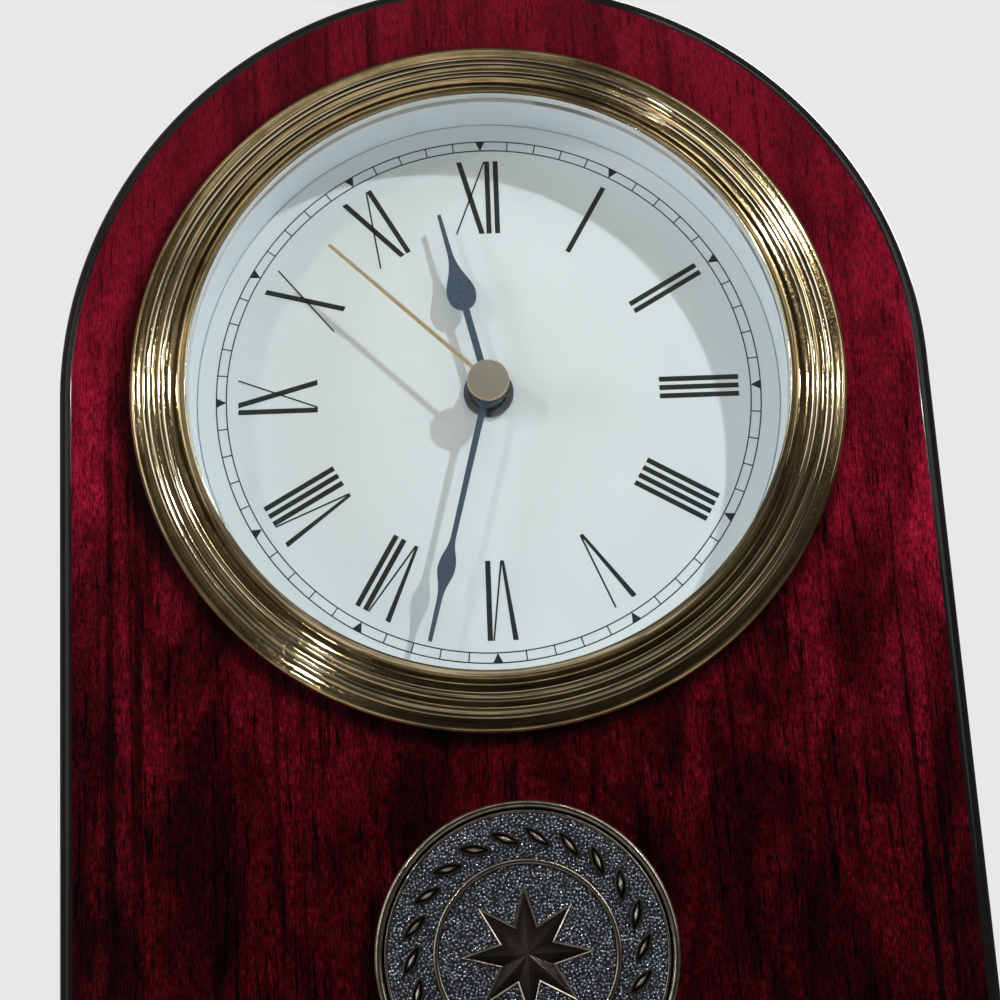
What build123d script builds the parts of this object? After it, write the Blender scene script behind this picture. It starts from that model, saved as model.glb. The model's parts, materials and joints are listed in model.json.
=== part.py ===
"""Arch-topped desk clock: a gloss board on a plinth, a ridged insert, three hands, a quartz movement.

Millimetres. +X is to the viewer's right, +Y goes back through the board, +Z is up.
The origin lies under the middle of the plinth, on the surface that the clock stands on.
"""

import math
import os

from build123d import *

os.makedirs("parts", exist_ok=True)

# Plinth and feet
PLINTH_WIDTH = 168.0
PLINTH_DEPTH = 66.0
PLINTH_HEIGHT = 19.0
PLINTH_TOP_ROUND = 6.0
PLINTH_CORNER_ROUND = 4.0
FOOT_RADIUS = 6.0
FOOT_HEIGHT = 2.5
FOOT_CHAMFER = 0.8
FOOT_INSET = 14.0

# Arched board, and how far the middle of its arch lies above the dial axis
BOARD_WIDTH = 139.6
BOARD_THICKNESS = 30.0
BOARD_FOOT_DROP = 128.0
BOARD_EDGE_ROUND = 2.3
ARCH_RISE = 0.6

# Screws that hold the board down from below
SCREW_SPACING = 84.0
SCREW_SHANK_RADIUS = 2.1
SCREW_HEAD_RADIUS = 4.2
SCREW_HEAD_HEIGHT = 2.6
SCREW_LENGTH = 46.0
SCREW_RECESS = 1.0
SCREW_POINT = 3.0

# Medallion
MEDALLION_RADIUS = 22.7
MEDALLION_THICKNESS = 2.4
MEDALLION_BELOW_AXIS = 89.8
MEDALLION_PROUD = 1.3
MEDALLION_RIM = 1.15
MEDALLION_GROOVE = 0.25
MEDALLION_INNER_RIM = 0.55
RIM_RISE = 0.75
RELIEF_RISE = 0.55
STAR_POINTS = 8
STAR_RADIUS = 10.5
STAR_WAIST_RADIUS = 4.6
RELIEF_RING_RADIUS = 13.6
RELIEF_RING_WIDTH = 0.9
WREATH_RADIUS = 17.2
WREATH_LEAVES = 22
LEAF_LENGTH = 4.2
LEAF_WIDTH = 1.5
LEAF_TILT = 60.0
TAPE_RADIUS = 18.0
TAPE_THICKNESS = 0.4

# Bezel: the widths of what lies on its face, from the outer edge inwards, and their heights
BEZEL_RADIUS = 57.0
BEZEL_UNDERCUT = 0.5
BEZEL_EDGE_HEIGHT = 2.3
BEZEL_EDGE_BEAD = 0.9
BEZEL_OUTER_BAND = 1.2
BEZEL_OUTER_BEAD = 0.85
BEZEL_INNER_BAND = 0.8
BEZEL_INNER_BEAD = 0.75
BEZEL_COVE = 1.1
BEZEL_SLOPE = 1.0
BEZEL_GROOVE = 0.35
BEZEL_LIP = 0.85
BEZEL_STEP = 0.13
BEZEL_BEAD_RISE = 0.2
BEZEL_BAND_SINK = 0.06
BEZEL_GROOVE_SINK = 0.12
BEZEL_LIP_RISE = 0.5
BEZEL_SKIRT_LENGTH = 5.0
BEZEL_SKIRT_WALL = 0.9

# How far the insert sits to the left of the board's middle
INSERT_LEFT = 1.0

# Lens, gasket, cup and dial
LENS_SEAT_HEIGHT = 2.3
LENS_THICKNESS = 1.9
CUP_LIP_OVERHANG = 0.2
CUP_WALL = 1.7
CUP_FLOOR = 1.6
DIAL_DEPTH = 8.3
DIAL_THICKNESS = 0.8
GRIP_RING_WIDTH = 4.0

# Fits
SEAT_CLEARANCE = 0.1
RUN_CLEARANCE = 0.05
PRESS_CLEARANCE = 0.02

# Hands, at the time the clock shows: clockwise degrees from the top
HOUR_HAND_ANGLE = 347.74
MINUTE_HAND_ANGLE = 195.34
SECOND_HAND_ANGLE = 314.94
HAND_THICKNESS = 0.4
HOUR_HAND_HEIGHT = 3.1
MINUTE_HAND_HEIGHT = 5.2
SECOND_HAND_HEIGHT = 7.0
COLLET_LENGTH = 1.1
SECOND_COLLET_LENGTH = 0.7
COLLET_WALL = 0.6
HOUR_HAND_LENGTH = 31.1
HOUR_STEM_WIDTH = 1.15
HOUR_TIP_WIDTH = 0.6
HOUR_BLADE_START = 13.9
HOUR_BLADE_WIDEST = 16.9
HOUR_BLADE_END = 24.5
HOUR_BLADE_WIDTH = 4.8
HOUR_BLADE_FULLNESS = 0.7
HOUR_NECK_WIDTH = 0.84
MINUTE_HAND_GAP = 4.7
MINUTE_STEM_WIDTH = 1.1
MINUTE_TIP_WIDTH = 0.66
MINUTE_BLADE_START = 26.1
MINUTE_BLADE_WIDEST = 31.3
MINUTE_BLADE_END = 36.3
MINUTE_BLADE_WIDTH = 2.8
MINUTE_BLADE_FULLNESS = 0.1
MINUTE_NECK_WIDTH = 0.84
SECOND_HAND_LENGTH = 34.9
SECOND_HAND_WIDTH = 0.64
SECOND_TIP_WIDTH = 0.52
CAP_RADIUS = 3.38
CAP_THICKNESS = 0.8
CAP_CHAMFER = 0.15

# Hollow shafts on the dial axis
SECOND_ARBOR_RADIUS = 0.4
CANNON_RADIUS = 1.45
HOUR_TUBE_RADIUS = 2.3
BUSHING_RADIUS = 3.2
BUSHING_FLANGE_RADIUS = 4.4
BUSHING_FLANGE_THICKNESS = 0.35
SHAFT_PROUD = 0.25
NUT_RADIUS = 4.1
NUT_HEIGHT = 1.0
NUT_SLOT_WIDTH = 0.9

# Movement case
CASE_WIDTH = 56.0
CASE_ABOVE_AXIS = 28.0
CASE_BELOW_AXIS = 28.0
CASE_WALL = 1.3
CASE_CORNER_ROUND = 3.0
COVER_LIP = 1.0
POST_RADIUS = 1.6

# Wheel train: thickness of each wheel and of the gaps between the levels
WHEEL_THICKNESS = 0.9
LEVEL_GAP = 0.55
PINION_OVERLAP = 0.15
BRIDGE_THICKNESS = 1.2
ARBOR_RADIUS = 0.45
PIVOT_LENGTH = 0.8
PIVOT_END_GAP = 0.1
BOSS_WALL = 0.9
STEM_RADIUS = 1.3
STEM_PIVOT_RADIUS = 0.6

# Tooth counts, and the modules of the gears that set the distances between the axes
ROTOR_LEAVES = 6
INTERMEDIATE_TEETH = 30
INTERMEDIATE_LEAVES = 6
SECONDS_TEETH = 36
SECONDS_LEAVES = 6
THIRD_TEETH = 45
THIRD_LEAVES = 6
CENTRE_TEETH = 48
CANNON_LEAVES = 10
MINUTE_TEETH = 30
MINUTE_LEAVES = 8
HOUR_TEETH = 32
ROTOR_MODULE = 1 / 3
SECONDS_MODULE = 0.4
THIRD_MODULE = 0.4
MOTION_MODULE = 0.588

# Tooth form, in modules and in shares of the pitch
ADDENDUM = 0.85
DEDENDUM = 1.15
TOOTH_ROOT_SHARE = 0.56
TOOTH_TIP_SHARE = 0.18

# Where the axes lie round the dial axis: anticlockwise degrees from the right
THIRD_ANGLE = 150.0
INTERMEDIATE_ANGLE = 60.0
ROTOR_ANGLE = 75.0
MINUTE_WHEEL_ANGLE = 5.0

# Stepping motor
MAGNET_RADIUS = 1.9
MAGNET_LENGTH = 2.0
STATOR_THICKNESS = 1.0
STATOR_HOLE_RADIUS = 2.5
STATOR_RING_WALL = 2.0
STATOR_LEG_WIDTH = 4.0
STATOR_LEG_GAP = 1.0
STATOR_BAR_HEIGHT = 2.6
COIL_ABOVE_AXIS = 22.8
COIL_LENGTH = 22.0
COIL_FLANGE_RADIUS = 3.2
COIL_FLANGE_THICKNESS = 0.8
COIL_WINDING_RADIUS = 2.8
COIL_SLEEVE_WALL = 0.4
CORE_HEIGHT = 2.0

# Circuit board and what is on it
CIRCUIT_WIDTH = 6.6
CIRCUIT_THICKNESS = 1.0
CIRCUIT_EDGE_GAP = 0.3
CHIP_RADIUS = 2.6
CHIP_HEIGHT = 1.0
CHIP_ABOVE_AXIS = 6.0
CRYSTAL_RADIUS = 1.0
CRYSTAL_LENGTH = 6.0
CRYSTAL_ABOVE_AXIS = 14.0

# Battery and its contacts
BATTERY_RADIUS = 7.25
BATTERY_LENGTH = 50.5
BATTERY_NUB_RADIUS = 2.75
BATTERY_NUB_LENGTH = 1.3
BATTERY_ROUND = 0.6
BATTERY_CLEARANCE = 0.35
CONTACT_THICKNESS = 0.4
CONTACT_WIDTH = 8.0
CONTACT_TAB_WIDTH = 3.0

# Setting knob
KNOB_RADIUS = 5.5
KNOB_HEIGHT = 3.4
KNOB_GAP = 0.4
KNOB_FLUTES = 16
KNOB_FLUTE_RADIUS = 0.55

# Places that follow from the sizes above
FACE_Y = -BOARD_THICKNESS / 2
BOARD_FOOT_Z = FOOT_HEIGHT + PLINTH_HEIGHT
CENTRE_Z = BOARD_FOOT_Z + BOARD_FOOT_DROP
ARCH_RADIUS = BOARD_WIDTH / 2
AXIS_X = -INSERT_LEFT

BEZEL_BANDS = BEZEL_OUTER_BAND + BEZEL_INNER_BAND + BEZEL_COVE + BEZEL_SLOPE + BEZEL_GROOVE
BEZEL_BEADS = BEZEL_EDGE_BEAD + 2 * BEZEL_OUTER_BEAD + 2 * BEZEL_INNER_BEAD
BEZEL_OPENING_RADIUS = BEZEL_RADIUS - BEZEL_BEADS - BEZEL_BANDS - BEZEL_LIP
CUP_INNER_RADIUS = BEZEL_OPENING_RADIUS + CUP_LIP_OVERHANG
CUP_OUTER_RADIUS = CUP_INNER_RADIUS + CUP_WALL
DIAL_RADIUS = CUP_INNER_RADIUS - SEAT_CLEARANCE
MINUTE_HAND_LENGTH = DIAL_RADIUS - MINUTE_HAND_GAP
BEZEL_SEAT_RADIUS = CUP_OUTER_RADIUS + SEAT_CLEARANCE
BEZEL_SKIRT_RADIUS = BEZEL_SEAT_RADIUS + BEZEL_SKIRT_WALL
HOLE_RADIUS = BEZEL_SKIRT_RADIUS + SEAT_CLEARANCE
LENS_BACK_HEIGHT = LENS_SEAT_HEIGHT - LENS_THICKNESS
DIAL_BACK = DIAL_DEPTH + DIAL_THICKNESS
MOVEMENT_FRONT = DIAL_BACK + CUP_FLOOR

MEDALLION_RECESS = MEDALLION_THICKNESS + TAPE_THICKNESS - MEDALLION_PROUD
MEDALLION_FIELD = MEDALLION_PROUD - RIM_RISE

HOUR_LEVEL = MOVEMENT_FRONT + CASE_WALL + LEVEL_GAP
MINUTE_LEVEL = HOUR_LEVEL + WHEEL_THICKNESS + LEVEL_GAP
CENTRE_LEVEL = MINUTE_LEVEL + WHEEL_THICKNESS + LEVEL_GAP
BRIDGE_FRONT = CENTRE_LEVEL + WHEEL_THICKNESS + LEVEL_GAP
BRIDGE_BACK = BRIDGE_FRONT + BRIDGE_THICKNESS
THIRD_LEVEL = BRIDGE_BACK + LEVEL_GAP
SECONDS_LEVEL = THIRD_LEVEL + WHEEL_THICKNESS + LEVEL_GAP
INTERMEDIATE_LEVEL = SECONDS_LEVEL + WHEEL_THICKNESS + LEVEL_GAP
COVER_FRONT = INTERMEDIATE_LEVEL + WHEEL_THICKNESS + LEVEL_GAP
COVER_BACK = COVER_FRONT + CASE_WALL

THIRD_DISTANCE = THIRD_MODULE * (SECONDS_LEAVES + THIRD_TEETH) / 2
CENTRE_MODULE = 2 * THIRD_DISTANCE / (THIRD_LEAVES + CENTRE_TEETH)
INTERMEDIATE_DISTANCE = SECONDS_MODULE * (INTERMEDIATE_LEAVES + SECONDS_TEETH) / 2
ROTOR_DISTANCE = ROTOR_MODULE * (ROTOR_LEAVES + INTERMEDIATE_TEETH) / 2
MINUTE_DISTANCE = MOTION_MODULE * (CANNON_LEAVES + MINUTE_TEETH) / 2
HOUR_MODULE = 2 * MINUTE_DISTANCE / (MINUTE_LEAVES + HOUR_TEETH)

ON_AXIS = (0.0, 0.0)
ARCH_AT = (INSERT_LEFT, ARCH_RISE)
MEDALLION_AT = (INSERT_LEFT, -MEDALLION_BELOW_AXIS)


def polar_point(radius, degrees, around=ON_AXIS):
    """A point at an angle, anticlockwise from the right, round another point."""
    turn = math.radians(degrees)
    return (around[0] + radius * math.cos(turn), around[1] + radius * math.sin(turn))


THIRD_AT = polar_point(THIRD_DISTANCE, THIRD_ANGLE)
INTERMEDIATE_AT = polar_point(INTERMEDIATE_DISTANCE, INTERMEDIATE_ANGLE)
ROTOR_AT = polar_point(ROTOR_DISTANCE, ROTOR_ANGLE, INTERMEDIATE_AT)
MINUTE_WHEEL_AT = polar_point(MINUTE_DISTANCE, MINUTE_WHEEL_ANGLE)

CASE_HALF = CASE_WIDTH / 2
CASE_INNER_HALF = CASE_HALF - CASE_WALL
BAY_FLOOR = -CASE_BELOW_AXIS + CASE_WALL
BATTERY_BELOW_AXIS = BAY_FLOOR + BATTERY_CLEARANCE + BATTERY_RADIUS
BAY_CEILING = BATTERY_BELOW_AXIS + BATTERY_RADIUS + BATTERY_CLEARANCE
TRAIN_FLOOR = BAY_CEILING + CASE_WALL
TRAIN_CEILING = CASE_ABOVE_AXIS - CASE_WALL
BATTERY_DEPTH = MOVEMENT_FRONT + CASE_WALL + BATTERY_CLEARANCE + BATTERY_RADIUS

CIRCUIT_LEFT = -CASE_INNER_HALF + CIRCUIT_EDGE_GAP
CIRCUIT_RIGHT = CIRCUIT_LEFT + CIRCUIT_WIDTH
CIRCUIT_MIDDLE = (CIRCUIT_LEFT + CIRCUIT_RIGHT) / 2
CIRCUIT_BOTTOM = TRAIN_FLOOR + POST_RADIUS
CIRCUIT_TOP = TRAIN_CEILING - CIRCUIT_EDGE_GAP
CIRCUIT_POSTS = [
    (CIRCUIT_MIDDLE, CIRCUIT_BOTTOM + 2 * POST_RADIUS),
    (CIRCUIT_MIDDLE, CIRCUIT_TOP - 2 * POST_RADIUS),
]

STATOR_HALF = COIL_LENGTH / 2 + STATOR_LEG_GAP + STATOR_LEG_WIDTH
STATOR_BAR_TOP = COIL_ABOVE_AXIS - COIL_FLANGE_RADIUS - COIL_FLANGE_THICKNESS / 2
STATOR_BAR_BOTTOM = STATOR_BAR_TOP - STATOR_BAR_HEIGHT
STATOR_TOP = COIL_ABOVE_AXIS + CORE_HEIGHT
CORE_FRONT = BRIDGE_BACK + STATOR_THICKNESS
COIL_DEPTH = CORE_FRONT + STATOR_THICKNESS / 2

BRIDGE_LEFT = CIRCUIT_RIGHT + POST_RADIUS
BRIDGE_RIGHT = CASE_INNER_HALF - POST_RADIUS / 2
BRIDGE_BOTTOM = TRAIN_FLOOR + POST_RADIUS
BRIDGE_TOP = STATOR_BAR_TOP - POST_RADIUS / 2
BRIDGE_POSTS = [
    (BRIDGE_LEFT + POST_RADIUS, BRIDGE_BOTTOM + POST_RADIUS),
    (BRIDGE_LEFT + POST_RADIUS, BRIDGE_TOP - POST_RADIUS),
    (BRIDGE_RIGHT - POST_RADIUS, BRIDGE_BOTTOM + POST_RADIUS),
    (BRIDGE_RIGHT - POST_RADIUS, BRIDGE_TOP - POST_RADIUS),
]


def facing(depth):
    """The plane across the dial axis, so far behind the board's face, that looks at the viewer."""
    return Plane(origin=(AXIS_X, FACE_Y + depth, CENTRE_Z), x_dir=(1, 0, 0), z_dir=(0, -1, 0))


def hand_plane(height, clockwise):
    """The plane of a hand, so far in front of the dial, with its Y axis towards the hand's tip."""
    turn = math.radians(clockwise)
    return Plane(
        origin=(AXIS_X, FACE_Y + DIAL_DEPTH - height, CENTRE_Z),
        x_dir=(math.cos(turn), 0, -math.sin(turn)),
        z_dir=(0, -1, 0),
    )


def turning_plane(around=ON_AXIS):
    """The half section of a turned piece: X is its radius and Y its height in front of the board."""
    return Plane(
        origin=(AXIS_X + around[0], FACE_Y, CENTRE_Z + around[1]),
        x_dir=(1, 0, 0),
        z_dir=(0, 0, -1),
    )


def turning_axis(around=ON_AXIS):
    return Axis((AXIS_X + around[0], FACE_Y, CENTRE_Z + around[1]), (0, -1, 0))


def ring_section(inner, outer, back, front):
    """A rectangle of a half section, between two radii and two heights."""
    with Locations(((inner + outer) / 2, (back + front) / 2)):
        Rectangle(outer - inner, front - back)


def spanned(left, right, bottom, top, mode=Mode.ADD):
    """A rectangle of a sketch, between its sides."""
    with Locations(((left + right) / 2, (bottom + top) / 2)):
        Rectangle(right - left, top - bottom, mode=mode)


def disc(around, radius, front, back, mode=Mode.ADD):
    """A cylinder along the dial axis between two depths."""
    with BuildSketch(facing(back)) as outline:
        with Locations(around):
            Circle(radius)
    extrude(outline.sketch, amount=back - front, mode=mode)


def gear(around, teeth, module, turn, front, back):
    """A gear between two depths, of straight-flanked teeth, with its first tooth at an angle."""
    pitch_radius = module * teeth / 2
    root_radius = pitch_radius - DEDENDUM * module
    tip_radius = pitch_radius + ADDENDUM * module
    step = 360 / teeth
    corners = []
    for tooth in range(teeth):
        middle = turn + tooth * step
        corners.append(polar_point(root_radius, middle - TOOTH_ROOT_SHARE / 2 * step, around))
        corners.append(polar_point(tip_radius, middle - TOOTH_TIP_SHARE / 2 * step, around))
        corners.append(polar_point(tip_radius, middle + TOOTH_TIP_SHARE / 2 * step, around))
        corners.append(polar_point(root_radius, middle + TOOTH_ROOT_SHARE / 2 * step, around))
    with BuildSketch(facing(back)) as outline:
        with BuildLine():
            Polyline(*corners, close=True)
        make_face()
    extrude(outline.sketch, amount=back - front)


def meshed_turn(turn, teeth, other_teeth, towards):
    """The turn of a gear's first tooth that puts it in mesh with a gear seen in that direction."""
    phase = (towards - turn) * teeth / 360
    return towards + 180 - (0.5 - phase) * 360 / other_teeth


def tapered_blade(hub, start, widest, end, length, fullness, widths):
    """The outline of a hand, wide on its blade, as one half and its mirror image."""
    stem, foot, blade, neck, tip = (width / 2 for width in widths)
    middle = (start + widest) / 2
    with BuildLine() as outline:
        Polyline((0, hub), (stem, hub), (foot, start))
        Bezier(
            (foot, start),
            (foot + fullness * (blade - foot), middle + fullness * (start - middle)),
            (blade, middle),
            (blade, widest),
        )
        Bezier(
            (blade, widest),
            (blade, widest + (end - widest) / 4),
            (neck, widest + (end - widest) / 2),
            (neck, end),
        )
        Polyline((neck, end), (tip, length), (0, length))
        mirror(about=Plane.YZ)
    make_face(outline.edges())


# Rubber feet, stuck under the corners of the plinth
with BuildPart() as rubber_feet:
    with BuildSketch(Plane.XY.offset(FOOT_HEIGHT)):
        with GridLocations(PLINTH_WIDTH - 2 * FOOT_INSET, PLINTH_DEPTH - 2 * FOOT_INSET, 2, 2):
            Circle(FOOT_RADIUS)
    extrude(amount=-FOOT_HEIGHT)
    chamfer(rubber_feet.faces().group_by(Axis.Z)[0].edges(), FOOT_CHAMFER)
rubber_feet.part.label = "rubber_feet"
export_step(rubber_feet.part, "parts/rubber_feet.step")

# Plinth, rounded along its top edge, with sunk holes for the screws
with BuildPart() as plinth:
    with BuildSketch(Plane.XY.offset(FOOT_HEIGHT)):
        RectangleRounded(PLINTH_WIDTH, PLINTH_DEPTH, PLINTH_CORNER_ROUND)
    extrude(amount=PLINTH_HEIGHT)
    fillet(plinth.faces().sort_by(Axis.Z)[-1].edges(), PLINTH_TOP_ROUND)
    with BuildSketch(Plane.XY.offset(FOOT_HEIGHT)):
        with GridLocations(SCREW_SPACING, 0, 2, 1):
            Circle(SCREW_SHANK_RADIUS + SEAT_CLEARANCE)
    extrude(amount=PLINTH_HEIGHT, mode=Mode.SUBTRACT)
    with BuildSketch(Plane.XY.offset(FOOT_HEIGHT)):
        with GridLocations(SCREW_SPACING, 0, 2, 1):
            Circle(SCREW_HEAD_RADIUS + SEAT_CLEARANCE)
    extrude(amount=SCREW_RECESS + SCREW_HEAD_HEIGHT, mode=Mode.SUBTRACT)
plinth.part.label = "plinth"
export_step(plinth.part, "parts/plinth.step")

# Wood screws, from the plinth's underside up into the board
with BuildPart() as plinth_screws:
    head_z = FOOT_HEIGHT + SCREW_RECESS
    seat_z = head_z + SCREW_HEAD_HEIGHT
    point_z = head_z + SCREW_LENGTH
    for side in (-1, 1):
        screw_x = side * SCREW_SPACING / 2
        with BuildSketch(Plane(origin=(screw_x, 0, 0), x_dir=(1, 0, 0), z_dir=(0, -1, 0))):
            with BuildLine():
                Polyline(
                    (0, head_z),
                    (SCREW_HEAD_RADIUS, head_z),
                    (SCREW_HEAD_RADIUS, seat_z),
                    (SCREW_SHANK_RADIUS, seat_z),
                    (SCREW_SHANK_RADIUS, point_z - SCREW_POINT),
                    (0, point_z),
                    close=True,
                )
            make_face()
        revolve(axis=Axis((screw_x, 0, 0), (0, 0, 1)))
plinth_screws.part.label = "plinth_screws"
export_step(plinth_screws.part, "parts/plinth_screws.step")

# Arched board, rounded front and back, bored for the insert and recessed for the medallion
with BuildPart() as board:
    with BuildSketch(facing(BOARD_THICKNESS)):
        with Locations(ARCH_AT):
            Circle(ARCH_RADIUS)
            Rectangle(BOARD_WIDTH, BOARD_FOOT_DROP + ARCH_RISE, align=(Align.CENTER, Align.MAX))
    extrude(amount=BOARD_THICKNESS)
    face_edges = board.edges().filter_by(Axis.Y, reverse=True)
    fillet(face_edges.group_by(Axis.Z)[1:], BOARD_EDGE_ROUND)
    disc(ON_AXIS, HOLE_RADIUS, 0, BOARD_THICKNESS, mode=Mode.SUBTRACT)
    disc(MEDALLION_AT, MEDALLION_RADIUS + SEAT_CLEARANCE, 0, MEDALLION_RECESS, mode=Mode.SUBTRACT)
    with BuildSketch(Plane.XY.offset(BOARD_FOOT_Z)):
        with GridLocations(SCREW_SPACING, 0, 2, 1):
            Circle(SCREW_SHANK_RADIUS + PRESS_CLEARANCE)
    extrude(amount=point_z - BOARD_FOOT_Z, mode=Mode.SUBTRACT)
board.part.label = "board"
export_step(board.part, "parts/board.step")

# Adhesive disc behind the medallion
with BuildPart() as medallion_tape:
    disc(MEDALLION_AT, TAPE_RADIUS, MEDALLION_RECESS - TAPE_THICKNESS, MEDALLION_RECESS)
medallion_tape.part.label = "medallion_tape"
export_step(medallion_tape.part, "parts/medallion_tape.step")

# Medallion: two raised rims round a field that carries a star in a ring and a wreath of leaves
with BuildPart() as medallion:
    groove_outer = MEDALLION_RADIUS - MEDALLION_RIM
    groove_inner = groove_outer - MEDALLION_GROOVE
    field_radius = groove_inner - MEDALLION_INNER_RIM
    back = MEDALLION_PROUD - MEDALLION_THICKNESS
    with BuildSketch(turning_plane(MEDALLION_AT)):
        ring_section(0, MEDALLION_RADIUS, back, MEDALLION_FIELD)
        with BuildLine():
            Line((groove_outer, MEDALLION_FIELD), (MEDALLION_RADIUS, MEDALLION_FIELD))
            ThreePointArc(
                (MEDALLION_RADIUS, MEDALLION_FIELD),
                ((groove_outer + MEDALLION_RADIUS) / 2, MEDALLION_PROUD),
                (groove_outer, MEDALLION_FIELD),
            )
        make_face()
        with BuildLine():
            Line((field_radius, MEDALLION_FIELD), (groove_inner, MEDALLION_FIELD))
            ThreePointArc(
                (groove_inner, MEDALLION_FIELD),
                ((field_radius + groove_inner) / 2, MEDALLION_FIELD + MEDALLION_INNER_RIM / 2),
                (field_radius, MEDALLION_FIELD),
            )
        make_face()
        ring_section(
            RELIEF_RING_RADIUS - RELIEF_RING_WIDTH / 2,
            RELIEF_RING_RADIUS + RELIEF_RING_WIDTH / 2,
            MEDALLION_FIELD,
            MEDALLION_FIELD + RELIEF_RISE,
        )
    revolve(axis=turning_axis(MEDALLION_AT))
    star = []
    for point in range(STAR_POINTS):
        outwards = 90 + point * 360 / STAR_POINTS
        star.append(polar_point(STAR_RADIUS, outwards, MEDALLION_AT))
        star.append(polar_point(STAR_WAIST_RADIUS, outwards + 180 / STAR_POINTS, MEDALLION_AT))
    with BuildSketch(facing(-MEDALLION_FIELD)):
        with BuildLine():
            Polyline(*star, close=True)
        make_face()
        with Locations(MEDALLION_AT):
            with PolarLocations(WREATH_RADIUS, WREATH_LEAVES):
                Ellipse(LEAF_LENGTH / 2, LEAF_WIDTH / 2, rotation=LEAF_TILT)
    extrude(amount=RELIEF_RISE)
medallion.part.label = "medallion"
export_step(medallion.part, "parts/medallion.step")

# Bezel: a skirt that goes into the board, a lip over the lens, and pairs of beads between hollow bands
with BuildPart() as bezel:
    edge_in = BEZEL_RADIUS - BEZEL_EDGE_BEAD
    edge_side = BEZEL_EDGE_HEIGHT - BEZEL_EDGE_BEAD
    stretches = [
        (BEZEL_OUTER_BAND, -BEZEL_BAND_SINK),
        (BEZEL_OUTER_BEAD, BEZEL_BEAD_RISE),
        (BEZEL_OUTER_BEAD, BEZEL_BEAD_RISE),
        (BEZEL_INNER_BAND, -BEZEL_BAND_SINK),
        (BEZEL_INNER_BEAD, BEZEL_BEAD_RISE),
        (BEZEL_INNER_BEAD, BEZEL_BEAD_RISE),
        (BEZEL_COVE, -BEZEL_BAND_SINK),
        (BEZEL_SLOPE, BEZEL_BEAD_RISE),
        (BEZEL_GROOVE, -BEZEL_GROOVE_SINK),
    ]
    with BuildSketch(turning_plane()):
        with BuildLine():
            Line((BEZEL_RADIUS - BEZEL_UNDERCUT, 0), (BEZEL_RADIUS, BEZEL_UNDERCUT))
            Line((BEZEL_RADIUS, BEZEL_UNDERCUT), (BEZEL_RADIUS, edge_side))
            RadiusArc((BEZEL_RADIUS, edge_side), (edge_in, BEZEL_EDGE_HEIGHT), -BEZEL_EDGE_BEAD)
            outer = (edge_in, BEZEL_EDGE_HEIGHT)
            for width, rise in stretches:
                inner = (outer[0] - width, outer[1] + BEZEL_STEP)
                middle = (outer[0] - width / 2, outer[1] + BEZEL_STEP / 2 + rise)
                ThreePointArc(outer, middle, inner)
                outer = inner
            lip_middle = ((outer[0] + BEZEL_OPENING_RADIUS) / 2, outer[1] + BEZEL_LIP_RISE)
            ThreePointArc(outer, lip_middle, (BEZEL_OPENING_RADIUS, outer[1]))
            Polyline(
                (BEZEL_OPENING_RADIUS, outer[1]),
                (BEZEL_OPENING_RADIUS, LENS_SEAT_HEIGHT),
                (BEZEL_SEAT_RADIUS, LENS_SEAT_HEIGHT),
                (BEZEL_SEAT_RADIUS, -BEZEL_SKIRT_LENGTH),
                (BEZEL_SKIRT_RADIUS, -BEZEL_SKIRT_LENGTH),
                (BEZEL_SKIRT_RADIUS, 0),
                (BEZEL_RADIUS - BEZEL_UNDERCUT, 0),
            )
        make_face()
    revolve(axis=turning_axis())
bezel.part.label = "bezel"
export_step(bezel.part, "parts/bezel.step")

# Flat lens, held between the bezel's lip and the gasket
with BuildPart() as lens:
    disc(ON_AXIS, CUP_OUTER_RADIUS, -LENS_SEAT_HEIGHT, -LENS_BACK_HEIGHT)
lens.part.label = "lens"
export_step(lens.part, "parts/lens.step")

# Gasket between the lens and the cup
with BuildPart() as lens_gasket:
    with BuildSketch(turning_plane()):
        ring_section(CUP_INNER_RADIUS, CUP_OUTER_RADIUS, 0, LENS_BACK_HEIGHT)
    revolve(axis=turning_axis())
lens_gasket.part.label = "lens_gasket"
export_step(lens_gasket.part, "parts/lens_gasket.step")

# White cup that holds the dial, with a floor that the movement is clamped against
with BuildPart() as insert_cup:
    with BuildSketch(turning_plane()):
        ring_section(CUP_INNER_RADIUS, CUP_OUTER_RADIUS, -MOVEMENT_FRONT, 0)
        ring_section(BUSHING_RADIUS + SEAT_CLEARANCE, CUP_OUTER_RADIUS, -MOVEMENT_FRONT, -DIAL_BACK)
    revolve(axis=turning_axis())
insert_cup.part.label = "insert_cup"
export_step(insert_cup.part, "parts/insert_cup.step")

# Rubber ring that grips the cup in the board
with BuildPart() as grip_ring:
    grip_inner = CUP_OUTER_RADIUS + RUN_CLEARANCE
    grip_back = -BEZEL_SKIRT_LENGTH - GRIP_RING_WIDTH
    with BuildSketch(turning_plane()):
        ring_section(grip_inner, HOLE_RADIUS - RUN_CLEARANCE, grip_back, -BEZEL_SKIRT_LENGTH)
    revolve(axis=turning_axis())
grip_ring.part.label = "grip_ring"
export_step(grip_ring.part, "parts/grip_ring.step")

# Dial plate
with BuildPart() as dial:
    disc(ON_AXIS, DIAL_RADIUS, DIAL_DEPTH, DIAL_BACK)
    disc(ON_AXIS, BUSHING_RADIUS + SEAT_CLEARANCE, DIAL_DEPTH, DIAL_BACK, mode=Mode.SUBTRACT)
dial.part.label = "dial"
export_step(dial.part, "parts/dial.step")

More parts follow.
